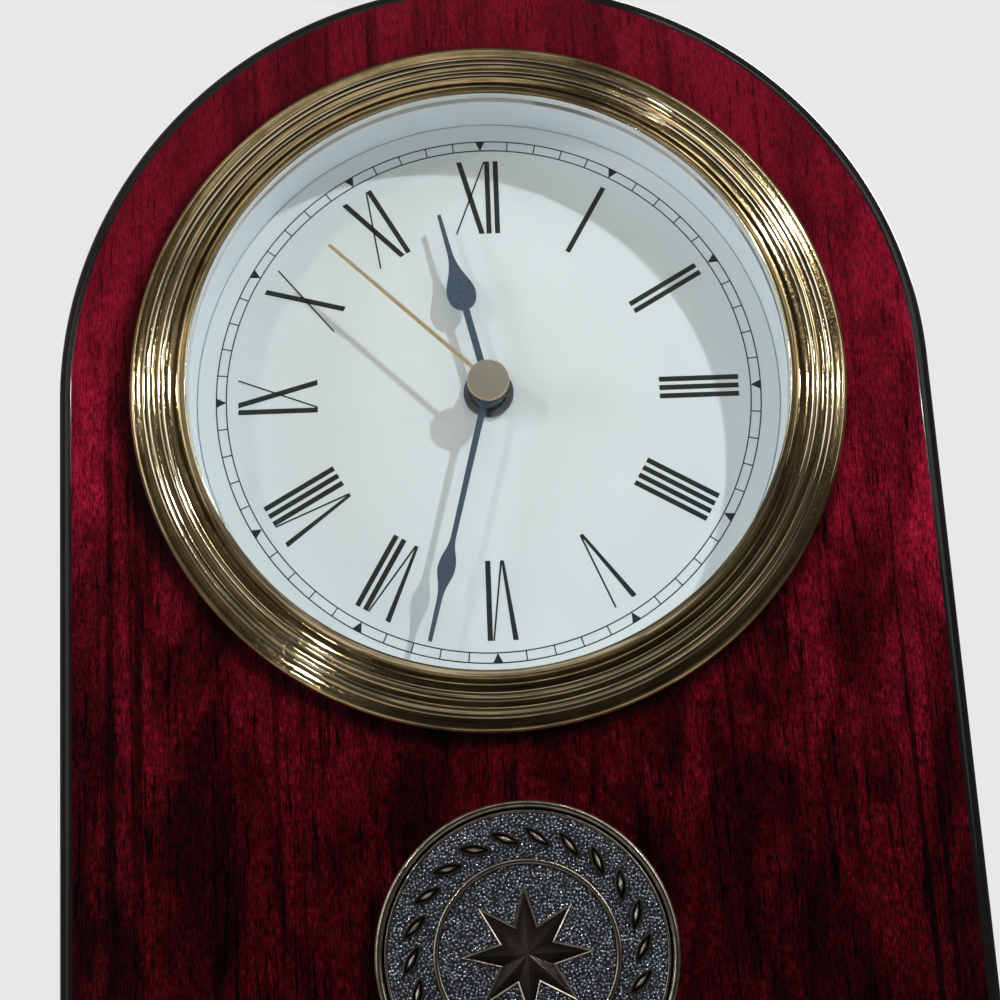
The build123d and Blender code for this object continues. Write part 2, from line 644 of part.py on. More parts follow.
# Front half of the movement case: walls, the battery bay and the posts of the train
with BuildPart() as movement_front_case:
    with BuildSketch(facing(COVER_FRONT)):
        spanned(-CASE_HALF, CASE_HALF, -CASE_BELOW_AXIS, CASE_ABOVE_AXIS)
    extrude(amount=COVER_FRONT - MOVEMENT_FRONT)
    fillet(movement_front_case.edges().filter_by(Axis.Y), CASE_CORNER_ROUND)
    with BuildSketch(facing(COVER_FRONT)):
        spanned(-CASE_INNER_HALF, CASE_INNER_HALF, TRAIN_FLOOR, TRAIN_CEILING)
        spanned(-CASE_INNER_HALF, CASE_INNER_HALF, BAY_FLOOR, BAY_CEILING)
    extrude(amount=COVER_FRONT - MOVEMENT_FRONT - CASE_WALL, mode=Mode.SUBTRACT)
    for post in BRIDGE_POSTS:
        disc(post, POST_RADIUS, MOVEMENT_FRONT + CASE_WALL / 2, BRIDGE_FRONT)
    for post in CIRCUIT_POSTS:
        disc(post, POST_RADIUS, MOVEMENT_FRONT + CASE_WALL / 2, BRIDGE_BACK)
    disc(ON_AXIS, BUSHING_RADIUS + PRESS_CLEARANCE, MOVEMENT_FRONT, HOUR_LEVEL, mode=Mode.SUBTRACT)
    pivot_front = MOVEMENT_FRONT + CASE_WALL - PIVOT_LENGTH - PIVOT_END_GAP
    pivot_bore = STEM_PIVOT_RADIUS + RUN_CLEARANCE
    disc(MINUTE_WHEEL_AT, pivot_bore, pivot_front, HOUR_LEVEL, mode=Mode.SUBTRACT)
    tab_top = TRAIN_FLOOR + SEAT_CLEARANCE
    tab_slot = CASE_INNER_HALF - CONTACT_THICKNESS - SEAT_CLEARANCE
    with BuildSketch(facing(COVER_FRONT)):
        spanned(-CASE_INNER_HALF, -tab_slot, BAY_CEILING, tab_top)
        spanned(tab_slot, CASE_INNER_HALF, BAY_CEILING, tab_top)
    extrude(amount=COVER_FRONT - BRIDGE_FRONT, mode=Mode.SUBTRACT)
movement_front_case.part.label = "movement_front_case"
export_step(movement_front_case.part, "parts/movement_front_case.step")

# Cover of the train, with the rear bearings and the hole for the setting stem
with BuildPart() as movement_cover:
    with BuildSketch(facing(COVER_BACK)):
        spanned(-CASE_HALF, CASE_HALF, BAY_CEILING, CASE_ABOVE_AXIS)
    extrude(amount=CASE_WALL)
    top_corners = movement_cover.edges().filter_by(Axis.Y).group_by(Axis.Z)[-1]
    fillet(top_corners, CASE_CORNER_ROUND)
    lip_half = CASE_INNER_HALF - SEAT_CLEARANCE
    lip_top = TRAIN_CEILING - SEAT_CLEARANCE
    lip_bottom = lip_top - COVER_LIP
    with BuildSketch(facing(COVER_FRONT)):
        spanned(-lip_half, lip_half, lip_bottom, lip_top)
    extrude(amount=COVER_LIP)
    bore = ARBOR_RADIUS + RUN_CLEARANCE
    bore_depth = PIVOT_LENGTH + PIVOT_END_GAP
    third_boss = THIRD_LEVEL + WHEEL_THICKNESS + LEVEL_GAP
    seconds_boss = SECONDS_LEVEL + WHEEL_THICKNESS + LEVEL_GAP
    seconds_bore = SECOND_ARBOR_RADIUS + RUN_CLEARANCE
    disc(THIRD_AT, bore + BOSS_WALL, third_boss, COVER_FRONT)
    disc(ON_AXIS, seconds_bore + BOSS_WALL, seconds_boss, COVER_FRONT)
    disc(THIRD_AT, bore, third_boss, third_boss + bore_depth, mode=Mode.SUBTRACT)
    disc(ON_AXIS, seconds_bore, seconds_boss, seconds_boss + bore_depth, mode=Mode.SUBTRACT)
    for pivot in (INTERMEDIATE_AT, ROTOR_AT):
        disc(pivot, bore, COVER_FRONT, COVER_FRONT + bore_depth, mode=Mode.SUBTRACT)
    disc(MINUTE_WHEEL_AT, STEM_RADIUS + RUN_CLEARANCE, COVER_FRONT, COVER_BACK, mode=Mode.SUBTRACT)
movement_cover.part.label = "movement_cover"
export_step(movement_cover.part, "parts/movement_cover.step")

# Bushing through the case, the cup's floor and the dial
with BuildPart() as shaft_bushing:
    flange_front = -MOVEMENT_FRONT - CASE_WALL
    flange_back = flange_front - BUSHING_FLANGE_THICKNESS
    bushing_bore = HOUR_TUBE_RADIUS + RUN_CLEARANCE
    with BuildSketch(turning_plane()):
        ring_section(bushing_bore, BUSHING_FLANGE_RADIUS, flange_back, flange_front)
        ring_section(bushing_bore, BUSHING_RADIUS, flange_back, NUT_HEIGHT - DIAL_DEPTH)
    revolve(axis=turning_axis())
shaft_bushing.part.label = "shaft_bushing"
export_step(shaft_bushing.part, "parts/shaft_bushing.step")

# Round slotted nut on the dial, which clamps the dial, the cup and the movement together
with BuildPart() as shaft_nut:
    with BuildSketch(turning_plane()):
        ring_section(BUSHING_RADIUS + PRESS_CLEARANCE, NUT_RADIUS, -DIAL_DEPTH, NUT_HEIGHT - DIAL_DEPTH)
    revolve(axis=turning_axis())
    with BuildSketch(facing(DIAL_DEPTH - NUT_HEIGHT / 2)):
        Rectangle(NUT_SLOT_WIDTH, 3 * NUT_RADIUS)
    extrude(amount=NUT_HEIGHT, mode=Mode.SUBTRACT)
shaft_nut.part.label = "shaft_nut"
export_step(shaft_nut.part, "parts/shaft_nut.step")

# Bridge plate between the motion work in front and the going train behind
with BuildPart() as train_bridge:
    with BuildSketch(facing(BRIDGE_BACK)):
        spanned(BRIDGE_LEFT, BRIDGE_RIGHT, BRIDGE_BOTTOM, BRIDGE_TOP)
    extrude(amount=BRIDGE_THICKNESS)
    disc(ON_AXIS, SECOND_ARBOR_RADIUS + RUN_CLEARANCE, BRIDGE_FRONT, BRIDGE_BACK, mode=Mode.SUBTRACT)
    disc(THIRD_AT, ARBOR_RADIUS + RUN_CLEARANCE, BRIDGE_FRONT, BRIDGE_BACK, mode=Mode.SUBTRACT)
    disc(MINUTE_WHEEL_AT, STEM_RADIUS + RUN_CLEARANCE, BRIDGE_FRONT, BRIDGE_BACK, mode=Mode.SUBTRACT)
    bridge_bore = BRIDGE_BACK - PIVOT_LENGTH - PIVOT_END_GAP
    for pivot in (INTERMEDIATE_AT, ROTOR_AT):
        disc(pivot, ARBOR_RADIUS + RUN_CLEARANCE, bridge_bore, BRIDGE_BACK, mode=Mode.SUBTRACT)
train_bridge.part.label = "train_bridge"
export_step(train_bridge.part, "parts/train_bridge.step")

# Stator plate round the rotor, with a leg to each end of the coil's core
with BuildPart() as stator:
    with BuildSketch(facing(CORE_FRONT)):
        spanned(-STATOR_HALF, STATOR_HALF, STATOR_BAR_BOTTOM, STATOR_BAR_TOP)
        spanned(-STATOR_HALF, STATOR_LEG_WIDTH - STATOR_HALF, STATOR_BAR_BOTTOM, STATOR_TOP)
        spanned(STATOR_HALF - STATOR_LEG_WIDTH, STATOR_HALF, STATOR_BAR_BOTTOM, STATOR_TOP)
        with Locations(ROTOR_AT):
            Circle(STATOR_HOLE_RADIUS + STATOR_RING_WALL)
        with Locations(ROTOR_AT):
            Circle(STATOR_HOLE_RADIUS, mode=Mode.SUBTRACT)
    extrude(amount=STATOR_THICKNESS)
stator.part.label = "stator"
export_step(stator.part, "parts/stator.step")

# Iron core through the coil, lying on the stator's legs
with BuildPart() as coil_core:
    core_bottom = COIL_ABOVE_AXIS - CORE_HEIGHT / 2
    with BuildSketch(facing(CORE_FRONT + STATOR_THICKNESS)):
        spanned(-STATOR_HALF, STATOR_HALF, core_bottom, core_bottom + CORE_HEIGHT)
    extrude(amount=STATOR_THICKNESS)
coil_core.part.label = "coil_core"
export_step(coil_core.part, "parts/coil_core.step")


def across(left):
    """The plane square to the coil and the battery, with X backwards from the board's face and Y up."""
    return Plane(origin=(AXIS_X + left, FACE_Y, CENTRE_Z), x_dir=(0, 1, 0), z_dir=(1, 0, 0))


# Bobbin with a flange at each end
with BuildPart() as coil_bobbin:
    sleeve_radius = math.hypot(CORE_HEIGHT, STATOR_THICKNESS) / 2 + COIL_SLEEVE_WALL
    coil_at = (COIL_DEPTH, COIL_ABOVE_AXIS)
    with BuildSketch(across(-COIL_LENGTH / 2)):
        with Locations(coil_at):
            Circle(sleeve_radius)
    extrude(amount=COIL_LENGTH)
    for left in (-COIL_LENGTH / 2, COIL_LENGTH / 2 - COIL_FLANGE_THICKNESS):
        with BuildSketch(across(left)):
            with Locations(coil_at):
                Circle(COIL_FLANGE_RADIUS)
        extrude(amount=COIL_FLANGE_THICKNESS)
    with BuildSketch(across(-COIL_LENGTH / 2)):
        with Locations(coil_at):
            Rectangle(STATOR_THICKNESS + 2 * PRESS_CLEARANCE, CORE_HEIGHT + 2 * PRESS_CLEARANCE)
    extrude(amount=COIL_LENGTH, mode=Mode.SUBTRACT)
coil_bobbin.part.label = "coil_bobbin"
export_step(coil_bobbin.part, "parts/coil_bobbin.step")

# Copper winding between the flanges
with BuildPart() as coil_winding:
    winding_half = COIL_LENGTH / 2 - COIL_FLANGE_THICKNESS
    with BuildSketch(across(-winding_half)):
        with Locations(coil_at):
            Circle(COIL_WINDING_RADIUS)
            Circle(sleeve_radius + PRESS_CLEARANCE, mode=Mode.SUBTRACT)
    extrude(amount=2 * winding_half)
coil_winding.part.label = "coil_winding"
export_step(coil_winding.part, "parts/coil_winding.step")

# Circuit board beside the train, on two posts
with BuildPart() as circuit_board:
    with BuildSketch(facing(BRIDGE_BACK + CIRCUIT_THICKNESS)):
        spanned(CIRCUIT_LEFT, CIRCUIT_RIGHT, CIRCUIT_BOTTOM, CIRCUIT_TOP)
    extrude(amount=CIRCUIT_THICKNESS)
circuit_board.part.label = "circuit_board"
export_step(circuit_board.part, "parts/circuit_board.step")

# Chip under its drop of resin
with BuildPart() as chip:
    chip_front = BRIDGE_BACK + CIRCUIT_THICKNESS
    disc((CIRCUIT_MIDDLE, CHIP_ABOVE_AXIS), CHIP_RADIUS, chip_front, chip_front + CHIP_HEIGHT)
    fillet(chip.faces().sort_by(Axis.Y)[-1].edges(), CHIP_HEIGHT / 2)
chip.part.label = "chip"
export_step(chip.part, "parts/chip.step")

# Quartz crystal in its can
with BuildPart() as quartz_crystal:
    can_z = CENTRE_Z + CRYSTAL_ABOVE_AXIS
    with BuildSketch(Plane.XY.offset(can_z)):
        with Locations((CIRCUIT_MIDDLE, FACE_Y + chip_front + CRYSTAL_RADIUS)):
            Circle(CRYSTAL_RADIUS)
    extrude(amount=CRYSTAL_LENGTH)
quartz_crystal.part.label = "quartz_crystal"
export_step(quartz_crystal.part, "parts/quartz_crystal.step")

# AA cell, its nub to the left
with BuildPart() as battery:
    battery_at = (BATTERY_DEPTH, BATTERY_BELOW_AXIS)
    can_length = BATTERY_LENGTH - BATTERY_NUB_LENGTH
    with BuildSketch(across(BATTERY_LENGTH / 2 - can_length)):
        with Locations(battery_at):
            Circle(BATTERY_RADIUS)
    extrude(amount=can_length)
    fillet(battery.edges().filter_by(GeomType.CIRCLE), BATTERY_ROUND)
    with BuildSketch(across(-BATTERY_LENGTH / 2)):
        with Locations(battery_at):
            Circle(BATTERY_NUB_RADIUS)
    extrude(amount=BATTERY_NUB_LENGTH)
battery.part.label = "battery"
export_step(battery.part, "parts/battery.step")

# Contact at the nub, with a tab up to the circuit board
with BuildPart() as positive_contact:
    contact_left = -CASE_INNER_HALF
    with BuildSketch(across(contact_left)):
        with Locations(battery_at):
            Rectangle(CONTACT_WIDTH, CONTACT_WIDTH)
        tab_middle = BRIDGE_BACK + CIRCUIT_THICKNESS / 2
        spanned(
            tab_middle - CONTACT_TAB_WIDTH / 2,
            tab_middle + CONTACT_TAB_WIDTH / 2,
            BATTERY_BELOW_AXIS,
            CIRCUIT_BOTTOM,
        )
    extrude(amount=CONTACT_THICKNESS)
    spring_length = CASE_INNER_HALF - CONTACT_THICKNESS - BATTERY_LENGTH / 2
    with BuildSketch(across(contact_left + CONTACT_THICKNESS)):
        with Locations(battery_at):
            Circle(BATTERY_NUB_RADIUS)
    extrude(amount=spring_length)
positive_contact.part.label = "positive_contact"
export_step(positive_contact.part, "parts/positive_contact.step")

# Contact at the flat end, with a strip over the bay to the circuit board
with BuildPart() as negative_contact:
    contact_right = CASE_INNER_HALF
    strip_bottom = TRAIN_FLOOR + SEAT_CLEARANCE
    strip_top = strip_bottom + CONTACT_THICKNESS
    with BuildSketch(across(contact_right - CONTACT_THICKNESS)):
        with Locations(battery_at):
            Rectangle(CONTACT_WIDTH, CONTACT_WIDTH)
        spanned(
            tab_middle - CONTACT_TAB_WIDTH / 2,
            tab_middle + CONTACT_TAB_WIDTH / 2,
            BATTERY_BELOW_AXIS,
            strip_top,
        )
    extrude(amount=CONTACT_THICKNESS)
    with BuildSketch(facing(tab_middle + CONTACT_TAB_WIDTH / 2)):
        spanned(CIRCUIT_MIDDLE, contact_right, strip_bottom, strip_top)
        spanned(CIRCUIT_MIDDLE, CIRCUIT_MIDDLE + CONTACT_THICKNESS, strip_bottom, CIRCUIT_BOTTOM)
    extrude(amount=CONTACT_TAB_WIDTH)
    with BuildSketch(across(BATTERY_LENGTH / 2)):
        with Locations(battery_at):
            Circle(BATTERY_NUB_RADIUS)
    extrude(amount=spring_length)
negative_contact.part.label = "negative_contact"
export_step(negative_contact.part, "parts/negative_contact.step")

# Rotor: a magnet, an arbor and a pinion that drives the intermediate wheel
with BuildPart() as rotor:
    pivot_start = BRIDGE_BACK - PIVOT_LENGTH
    pivot_end = COVER_FRONT + PIVOT_LENGTH
    magnet_front = BRIDGE_BACK + LEVEL_GAP / 2
    rotor_turn = meshed_turn(0, INTERMEDIATE_TEETH, ROTOR_LEAVES, ROTOR_ANGLE)
    disc(ROTOR_AT, ARBOR_RADIUS, pivot_start, pivot_end)
    disc(ROTOR_AT, MAGNET_RADIUS, magnet_front, magnet_front + MAGNET_LENGTH)
    gear(
        ROTOR_AT,
        ROTOR_LEAVES,
        ROTOR_MODULE,
        rotor_turn,
        INTERMEDIATE_LEVEL - PINION_OVERLAP,
        INTERMEDIATE_LEVEL + WHEEL_THICKNESS + PINION_OVERLAP,
    )
rotor.part.label = "rotor"
export_step(rotor.part, "parts/rotor.step")

# Intermediate wheel and its pinion, between the rotor and the seconds wheel
with BuildPart() as intermediate_wheel:
    leaf_turn = meshed_turn(0, SECONDS_TEETH, INTERMEDIATE_LEAVES, INTERMEDIATE_ANGLE)
    disc(INTERMEDIATE_AT, ARBOR_RADIUS, pivot_start, pivot_end)
    gear(
        INTERMEDIATE_AT,
        INTERMEDIATE_LEAVES,
        SECONDS_MODULE,
        leaf_turn,
        SECONDS_LEVEL - PINION_OVERLAP,
        INTERMEDIATE_LEVEL,
    )
    gear(
        INTERMEDIATE_AT,
        INTERMEDIATE_TEETH,
        ROTOR_MODULE,
        0,
        INTERMEDIATE_LEVEL,
        INTERMEDIATE_LEVEL + WHEEL_THICKNESS,
    )
intermediate_wheel.part.label = "intermediate_wheel"
export_step(intermediate_wheel.part, "parts/intermediate_wheel.step")

# Seconds wheel: its arbor runs from the cover's bearing out to the second hand
with BuildPart() as seconds_wheel:
    arbor_front = DIAL_DEPTH - SECOND_HAND_HEIGHT - HAND_THICKNESS
    disc(ON_AXIS, SECOND_ARBOR_RADIUS, arbor_front, seconds_boss + PIVOT_LENGTH)
    gear(ON_AXIS, SECONDS_LEAVES, THIRD_MODULE, 0, THIRD_LEVEL - PINION_OVERLAP, SECONDS_LEVEL)
    gear(ON_AXIS, SECONDS_TEETH, SECONDS_MODULE, 0, SECONDS_LEVEL, SECONDS_LEVEL + WHEEL_THICKNESS)
seconds_wheel.part.label = "seconds_wheel"
export_step(seconds_wheel.part, "parts/seconds_wheel.step")

# Third wheel behind the bridge, with its pinion in front of it
with BuildPart() as third_wheel:
    third_turn = meshed_turn(0, SECONDS_LEAVES, THIRD_TEETH, THIRD_ANGLE)
    pinion_back = CENTRE_LEVEL + WHEEL_THICKNESS + PINION_OVERLAP
    disc(THIRD_AT, ARBOR_RADIUS, CENTRE_LEVEL, third_boss + PIVOT_LENGTH)
    gear(THIRD_AT, THIRD_LEAVES, CENTRE_MODULE, 0, CENTRE_LEVEL - PINION_OVERLAP, pinion_back)
    gear(THIRD_AT, THIRD_TEETH, THIRD_MODULE, third_turn, THIRD_LEVEL, THIRD_LEVEL + WHEEL_THICKNESS)
third_wheel.part.label = "third_wheel"
export_step(third_wheel.part, "parts/third_wheel.step")

# Centre wheel, which slips on the cannon when the hands are set
with BuildPart() as centre_wheel:
    centre_turn = meshed_turn(0, THIRD_LEAVES, CENTRE_TEETH, THIRD_ANGLE + 180)
    centre_back = CENTRE_LEVEL + WHEEL_THICKNESS
    gear(ON_AXIS, CENTRE_TEETH, CENTRE_MODULE, centre_turn, CENTRE_LEVEL, centre_back)
    disc(ON_AXIS, CANNON_RADIUS + RUN_CLEARANCE, CENTRE_LEVEL, centre_back, mode=Mode.SUBTRACT)
centre_wheel.part.label = "centre_wheel"
export_step(centre_wheel.part, "parts/centre_wheel.step")

# Cannon: the minute hand's hollow shaft, with its pinion
with BuildPart() as cannon:
    cannon_front = DIAL_DEPTH - MINUTE_HAND_HEIGHT - HAND_THICKNESS - SHAFT_PROUD
    cannon_back = centre_back + LEVEL_GAP / 2
    disc(ON_AXIS, CANNON_RADIUS, cannon_front, cannon_back)
    gear(
        ON_AXIS,
        CANNON_LEAVES,
        MOTION_MODULE,
        0,
        MINUTE_LEVEL - PINION_OVERLAP,
        MINUTE_LEVEL + WHEEL_THICKNESS + PINION_OVERLAP,
    )
    disc(ON_AXIS, SECOND_ARBOR_RADIUS + RUN_CLEARANCE, cannon_front, cannon_back, mode=Mode.SUBTRACT)
cannon.part.label = "cannon"
export_step(cannon.part, "parts/cannon.step")

# Minute wheel of the motion work, on the setting stem
with BuildPart() as minute_wheel:
    wheel_turn = meshed_turn(0, CANNON_LEAVES, MINUTE_TEETH, MINUTE_WHEEL_ANGLE)
    stem_back = COVER_BACK + KNOB_GAP + KNOB_HEIGHT / 2
    disc(MINUTE_WHEEL_AT, STEM_PIVOT_RADIUS, pivot_front + PIVOT_END_GAP, HOUR_LEVEL)
    gear(MINUTE_WHEEL_AT, MINUTE_LEAVES, HOUR_MODULE, 0, HOUR_LEVEL - PINION_OVERLAP, MINUTE_LEVEL)
    gear(
        MINUTE_WHEEL_AT,
        MINUTE_TEETH,
        MOTION_MODULE,
        wheel_turn,
        MINUTE_LEVEL,
        MINUTE_LEVEL + WHEEL_THICKNESS,
    )
    disc(MINUTE_WHEEL_AT, STEM_RADIUS, MINUTE_LEVEL, stem_back)
minute_wheel.part.label = "minute_wheel"
export_step(minute_wheel.part, "parts/minute_wheel.step")

# Fluted setting knob behind the cover
with BuildPart() as setting_knob:
    knob_front = COVER_BACK + KNOB_GAP
    disc(MINUTE_WHEEL_AT, KNOB_RADIUS, knob_front, knob_front + KNOB_HEIGHT)
    with BuildSketch(facing(knob_front + KNOB_HEIGHT)):
        with Locations(MINUTE_WHEEL_AT):
            with PolarLocations(KNOB_RADIUS, KNOB_FLUTES):
                Circle(KNOB_FLUTE_RADIUS)
    extrude(amount=KNOB_HEIGHT, mode=Mode.SUBTRACT)
    disc(MINUTE_WHEEL_AT, STEM_RADIUS + PRESS_CLEARANCE, knob_front, stem_back, mode=Mode.SUBTRACT)
setting_knob.part.label = "setting_knob"
export_step(setting_knob.part, "parts/setting_knob.step")

# Hour wheel and the tube that carries the hour hand
with BuildPart() as hour_wheel:
    hour_turn = meshed_turn(0, MINUTE_LEAVES, HOUR_TEETH, MINUTE_WHEEL_ANGLE + 180)
    hour_back = HOUR_LEVEL + WHEEL_THICKNESS
    tube_front = DIAL_DEPTH - HOUR_HAND_HEIGHT - HAND_THICKNESS - SHAFT_PROUD
    gear(ON_AXIS, HOUR_TEETH, HOUR_MODULE, hour_turn, HOUR_LEVEL, hour_back)
    disc(ON_AXIS, HOUR_TUBE_RADIUS, tube_front, hour_back)
    disc(ON_AXIS, CANNON_RADIUS + RUN_CLEARANCE, tube_front, hour_back, mode=Mode.SUBTRACT)
hour_wheel.part.label = "hour_wheel"
export_step(hour_wheel.part, "parts/hour_wheel.step")

# Hour hand: a thin stem, a drop-shaped blade and a long tip
with BuildPart() as hour_hand:
    hour_bore = HOUR_TUBE_RADIUS + PRESS_CLEARANCE
    with BuildSketch(hand_plane(HOUR_HAND_HEIGHT, HOUR_HAND_ANGLE)):
        tapered_blade(
            hour_bore,
            HOUR_BLADE_START,
            HOUR_BLADE_WIDEST,
            HOUR_BLADE_END,
            HOUR_HAND_LENGTH,
            HOUR_BLADE_FULLNESS,
            (HOUR_STEM_WIDTH, HOUR_STEM_WIDTH, HOUR_BLADE_WIDTH, HOUR_NECK_WIDTH, HOUR_TIP_WIDTH),
        )
        Circle(hour_bore + COLLET_WALL)
        Circle(hour_bore, mode=Mode.SUBTRACT)
    extrude(amount=HAND_THICKNESS)
    with BuildSketch(hand_plane(HOUR_HAND_HEIGHT, HOUR_HAND_ANGLE)):
        Circle(hour_bore + COLLET_WALL)
        Circle(hour_bore, mode=Mode.SUBTRACT)
    extrude(amount=-COLLET_LENGTH)
hour_hand.part.label = "hour_hand"
export_step(hour_hand.part, "parts/hour_hand.step")

# Minute hand: the same form, longer, with a narrow blade near its end
with BuildPart() as minute_hand:
    minute_bore = CANNON_RADIUS + PRESS_CLEARANCE
    with BuildSketch(hand_plane(MINUTE_HAND_HEIGHT, MINUTE_HAND_ANGLE)):
        tapered_blade(
            minute_bore,
            MINUTE_BLADE_START,
            MINUTE_BLADE_WIDEST,
            MINUTE_BLADE_END,
            MINUTE_HAND_LENGTH,
            MINUTE_BLADE_FULLNESS,
            (MINUTE_STEM_WIDTH, MINUTE_NECK_WIDTH, MINUTE_BLADE_WIDTH, MINUTE_NECK_WIDTH, MINUTE_TIP_WIDTH),
        )
        Circle(minute_bore + COLLET_WALL)
        Circle(minute_bore, mode=Mode.SUBTRACT)
    extrude(amount=HAND_THICKNESS)
    with BuildSketch(hand_plane(MINUTE_HAND_HEIGHT, MINUTE_HAND_ANGLE)):
        Circle(minute_bore + COLLET_WALL)
        Circle(minute_bore, mode=Mode.SUBTRACT)
    extrude(amount=-COLLET_LENGTH)
minute_hand.part.label = "minute_hand"
export_step(minute_hand.part, "parts/minute_hand.step")

# Second hand: a straight tapered needle under a flat round cap
with BuildPart() as second_hand:
    second_bore = SECOND_ARBOR_RADIUS + PRESS_CLEARANCE
    with BuildSketch(hand_plane(SECOND_HAND_HEIGHT, SECOND_HAND_ANGLE)):
        with BuildLine():
            Polyline(
                (-SECOND_HAND_WIDTH / 2, 0),
                (SECOND_HAND_WIDTH / 2, 0),
                (SECOND_TIP_WIDTH / 2, SECOND_HAND_LENGTH),
                (-SECOND_TIP_WIDTH / 2, SECOND_HAND_LENGTH),
                close=True,
            )
        make_face()
        Circle(second_bore + COLLET_WALL)
    extrude(amount=HAND_THICKNESS)
    cap_back = DIAL_DEPTH - SECOND_HAND_HEIGHT
    disc(ON_AXIS, CAP_RADIUS, cap_back - CAP_THICKNESS, cap_back)
    chamfer(second_hand.faces().sort_by(Axis.Y)[0].edges(), CAP_CHAMFER)
    disc(ON_AXIS, second_bore + COLLET_WALL, cap_back, cap_back + SECOND_COLLET_LENGTH)
    bore_front = cap_back - HAND_THICKNESS
    disc(ON_AXIS, second_bore, bore_front, cap_back + SECOND_COLLET_LENGTH, mode=Mode.SUBTRACT)
second_hand.part.label = "second_hand"
export_step(second_hand.part, "parts/second_hand.step")
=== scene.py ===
"""Arch-topped desk clock: lacquered board, ridged bezel, printed dial, hands and medallion, on a plain stage.

Run as a script in Blender. Sizes in the code are millimetres; meshes and settings are metres.
Places on the clock are given as right of the dial axis, above it, and out in front of the board's face.
"""

import json
import math
from collections import namedtuple

import bmesh
import bpy
from mathutils import Matrix, Vector


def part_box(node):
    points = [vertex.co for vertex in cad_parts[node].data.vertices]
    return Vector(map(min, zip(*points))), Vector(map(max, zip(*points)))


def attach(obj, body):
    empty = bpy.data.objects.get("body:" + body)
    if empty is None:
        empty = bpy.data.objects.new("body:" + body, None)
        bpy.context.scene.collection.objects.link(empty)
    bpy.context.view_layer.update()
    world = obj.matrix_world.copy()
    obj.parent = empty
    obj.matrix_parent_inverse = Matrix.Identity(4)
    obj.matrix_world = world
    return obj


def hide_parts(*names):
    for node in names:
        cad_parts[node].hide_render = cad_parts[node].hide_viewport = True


bl_info = {
    "name": "Arch-topped desk clock",
    "version": (1, 0, 0),
    "blender": (4, 5, 0),
    "location": "View3D > Sidebar > Desk clock",
    "description": "Builds the visible pieces and finishes of an arch-topped desk clock and its stage",
    "category": "Add Mesh",
}

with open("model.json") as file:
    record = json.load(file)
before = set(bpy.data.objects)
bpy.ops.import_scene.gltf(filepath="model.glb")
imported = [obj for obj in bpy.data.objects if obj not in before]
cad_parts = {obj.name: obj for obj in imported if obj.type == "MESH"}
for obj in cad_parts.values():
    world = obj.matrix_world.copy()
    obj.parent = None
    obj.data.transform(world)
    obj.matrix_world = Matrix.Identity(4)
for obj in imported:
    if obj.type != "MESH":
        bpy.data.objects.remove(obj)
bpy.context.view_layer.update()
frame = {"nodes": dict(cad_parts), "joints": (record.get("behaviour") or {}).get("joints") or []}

MM = 0.001
BOARD_LOW, BOARD_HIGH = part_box("board")
PLINTH_LOW, PLINTH_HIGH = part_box("plinth")
MEDALLION_LOW, MEDALLION_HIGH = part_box("medallion")
FACE_Y = BOARD_LOW.y
AXIS_X, _, CENTRE_Z = next(joint["pos_m"] for joint in frame["joints"] if joint["name"] == "second_spin")


def radius_of(node):
    """Radius of a round node of the insert, in millimetres."""
    return (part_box(node)[1].x - AXIS_X) / MM


def depth_of(node):
    """Back and front of a node, out from the board's face, in millimetres."""
    low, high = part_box(node)
    return (FACE_Y - high.y) / MM, (FACE_Y - low.y) / MM


ON_AXIS = (0.0, 0.0)
ARCH_AT = (-AXIS_X / MM, (BOARD_HIGH.z - BOARD_HIGH.x - CENTRE_Z) / MM)
BEZEL_RADIUS = radius_of("bezel")
BEZEL_BACK, _ = depth_of("bezel")
LENS_BACK, LENS_FRONT = depth_of("lens")
CUP_BACK, CUP_RIM = depth_of("insert_cup")
DIAL_BACK, DIAL_OUT = depth_of("dial")
MEDALLION_AT = (-AXIS_X / MM, ((MEDALLION_LOW.z + MEDALLION_HIGH.z) / 2 - CENTRE_Z) / MM)
MEDALLION_RADIUS = (MEDALLION_HIGH.x - MEDALLION_LOW.x) / 2 / MM

# The bezel's skirt goes into the board and holds the lens and the cup
SKIRT_OUTSIDE = 50.5
SKIRT_INSIDE = 49.6

# Radius of the hole for the shaft in the cup and the dial
SHAFT_HOLE = 3.3

# The medallion's field, and the top and the foot of its relief, out from the board's face
FIELD = 0.55
RELIEF_TOP = FIELD + 0.55
RELIEF_FOOT = FIELD - 0.05


def length(label, about, value):
    """A size in metres, given in millimetres."""
    return bpy.props.FloatProperty(
        name=label, description=about, default=value * MM, min=0.0, unit="LENGTH", precision=5
    )


def colour(label, about, value):
    """A colour in linear values."""
    return bpy.props.FloatVectorProperty(
        name=label, description=about, default=value, size=3, min=0.0, max=1.0, subtype="COLOR"
    )


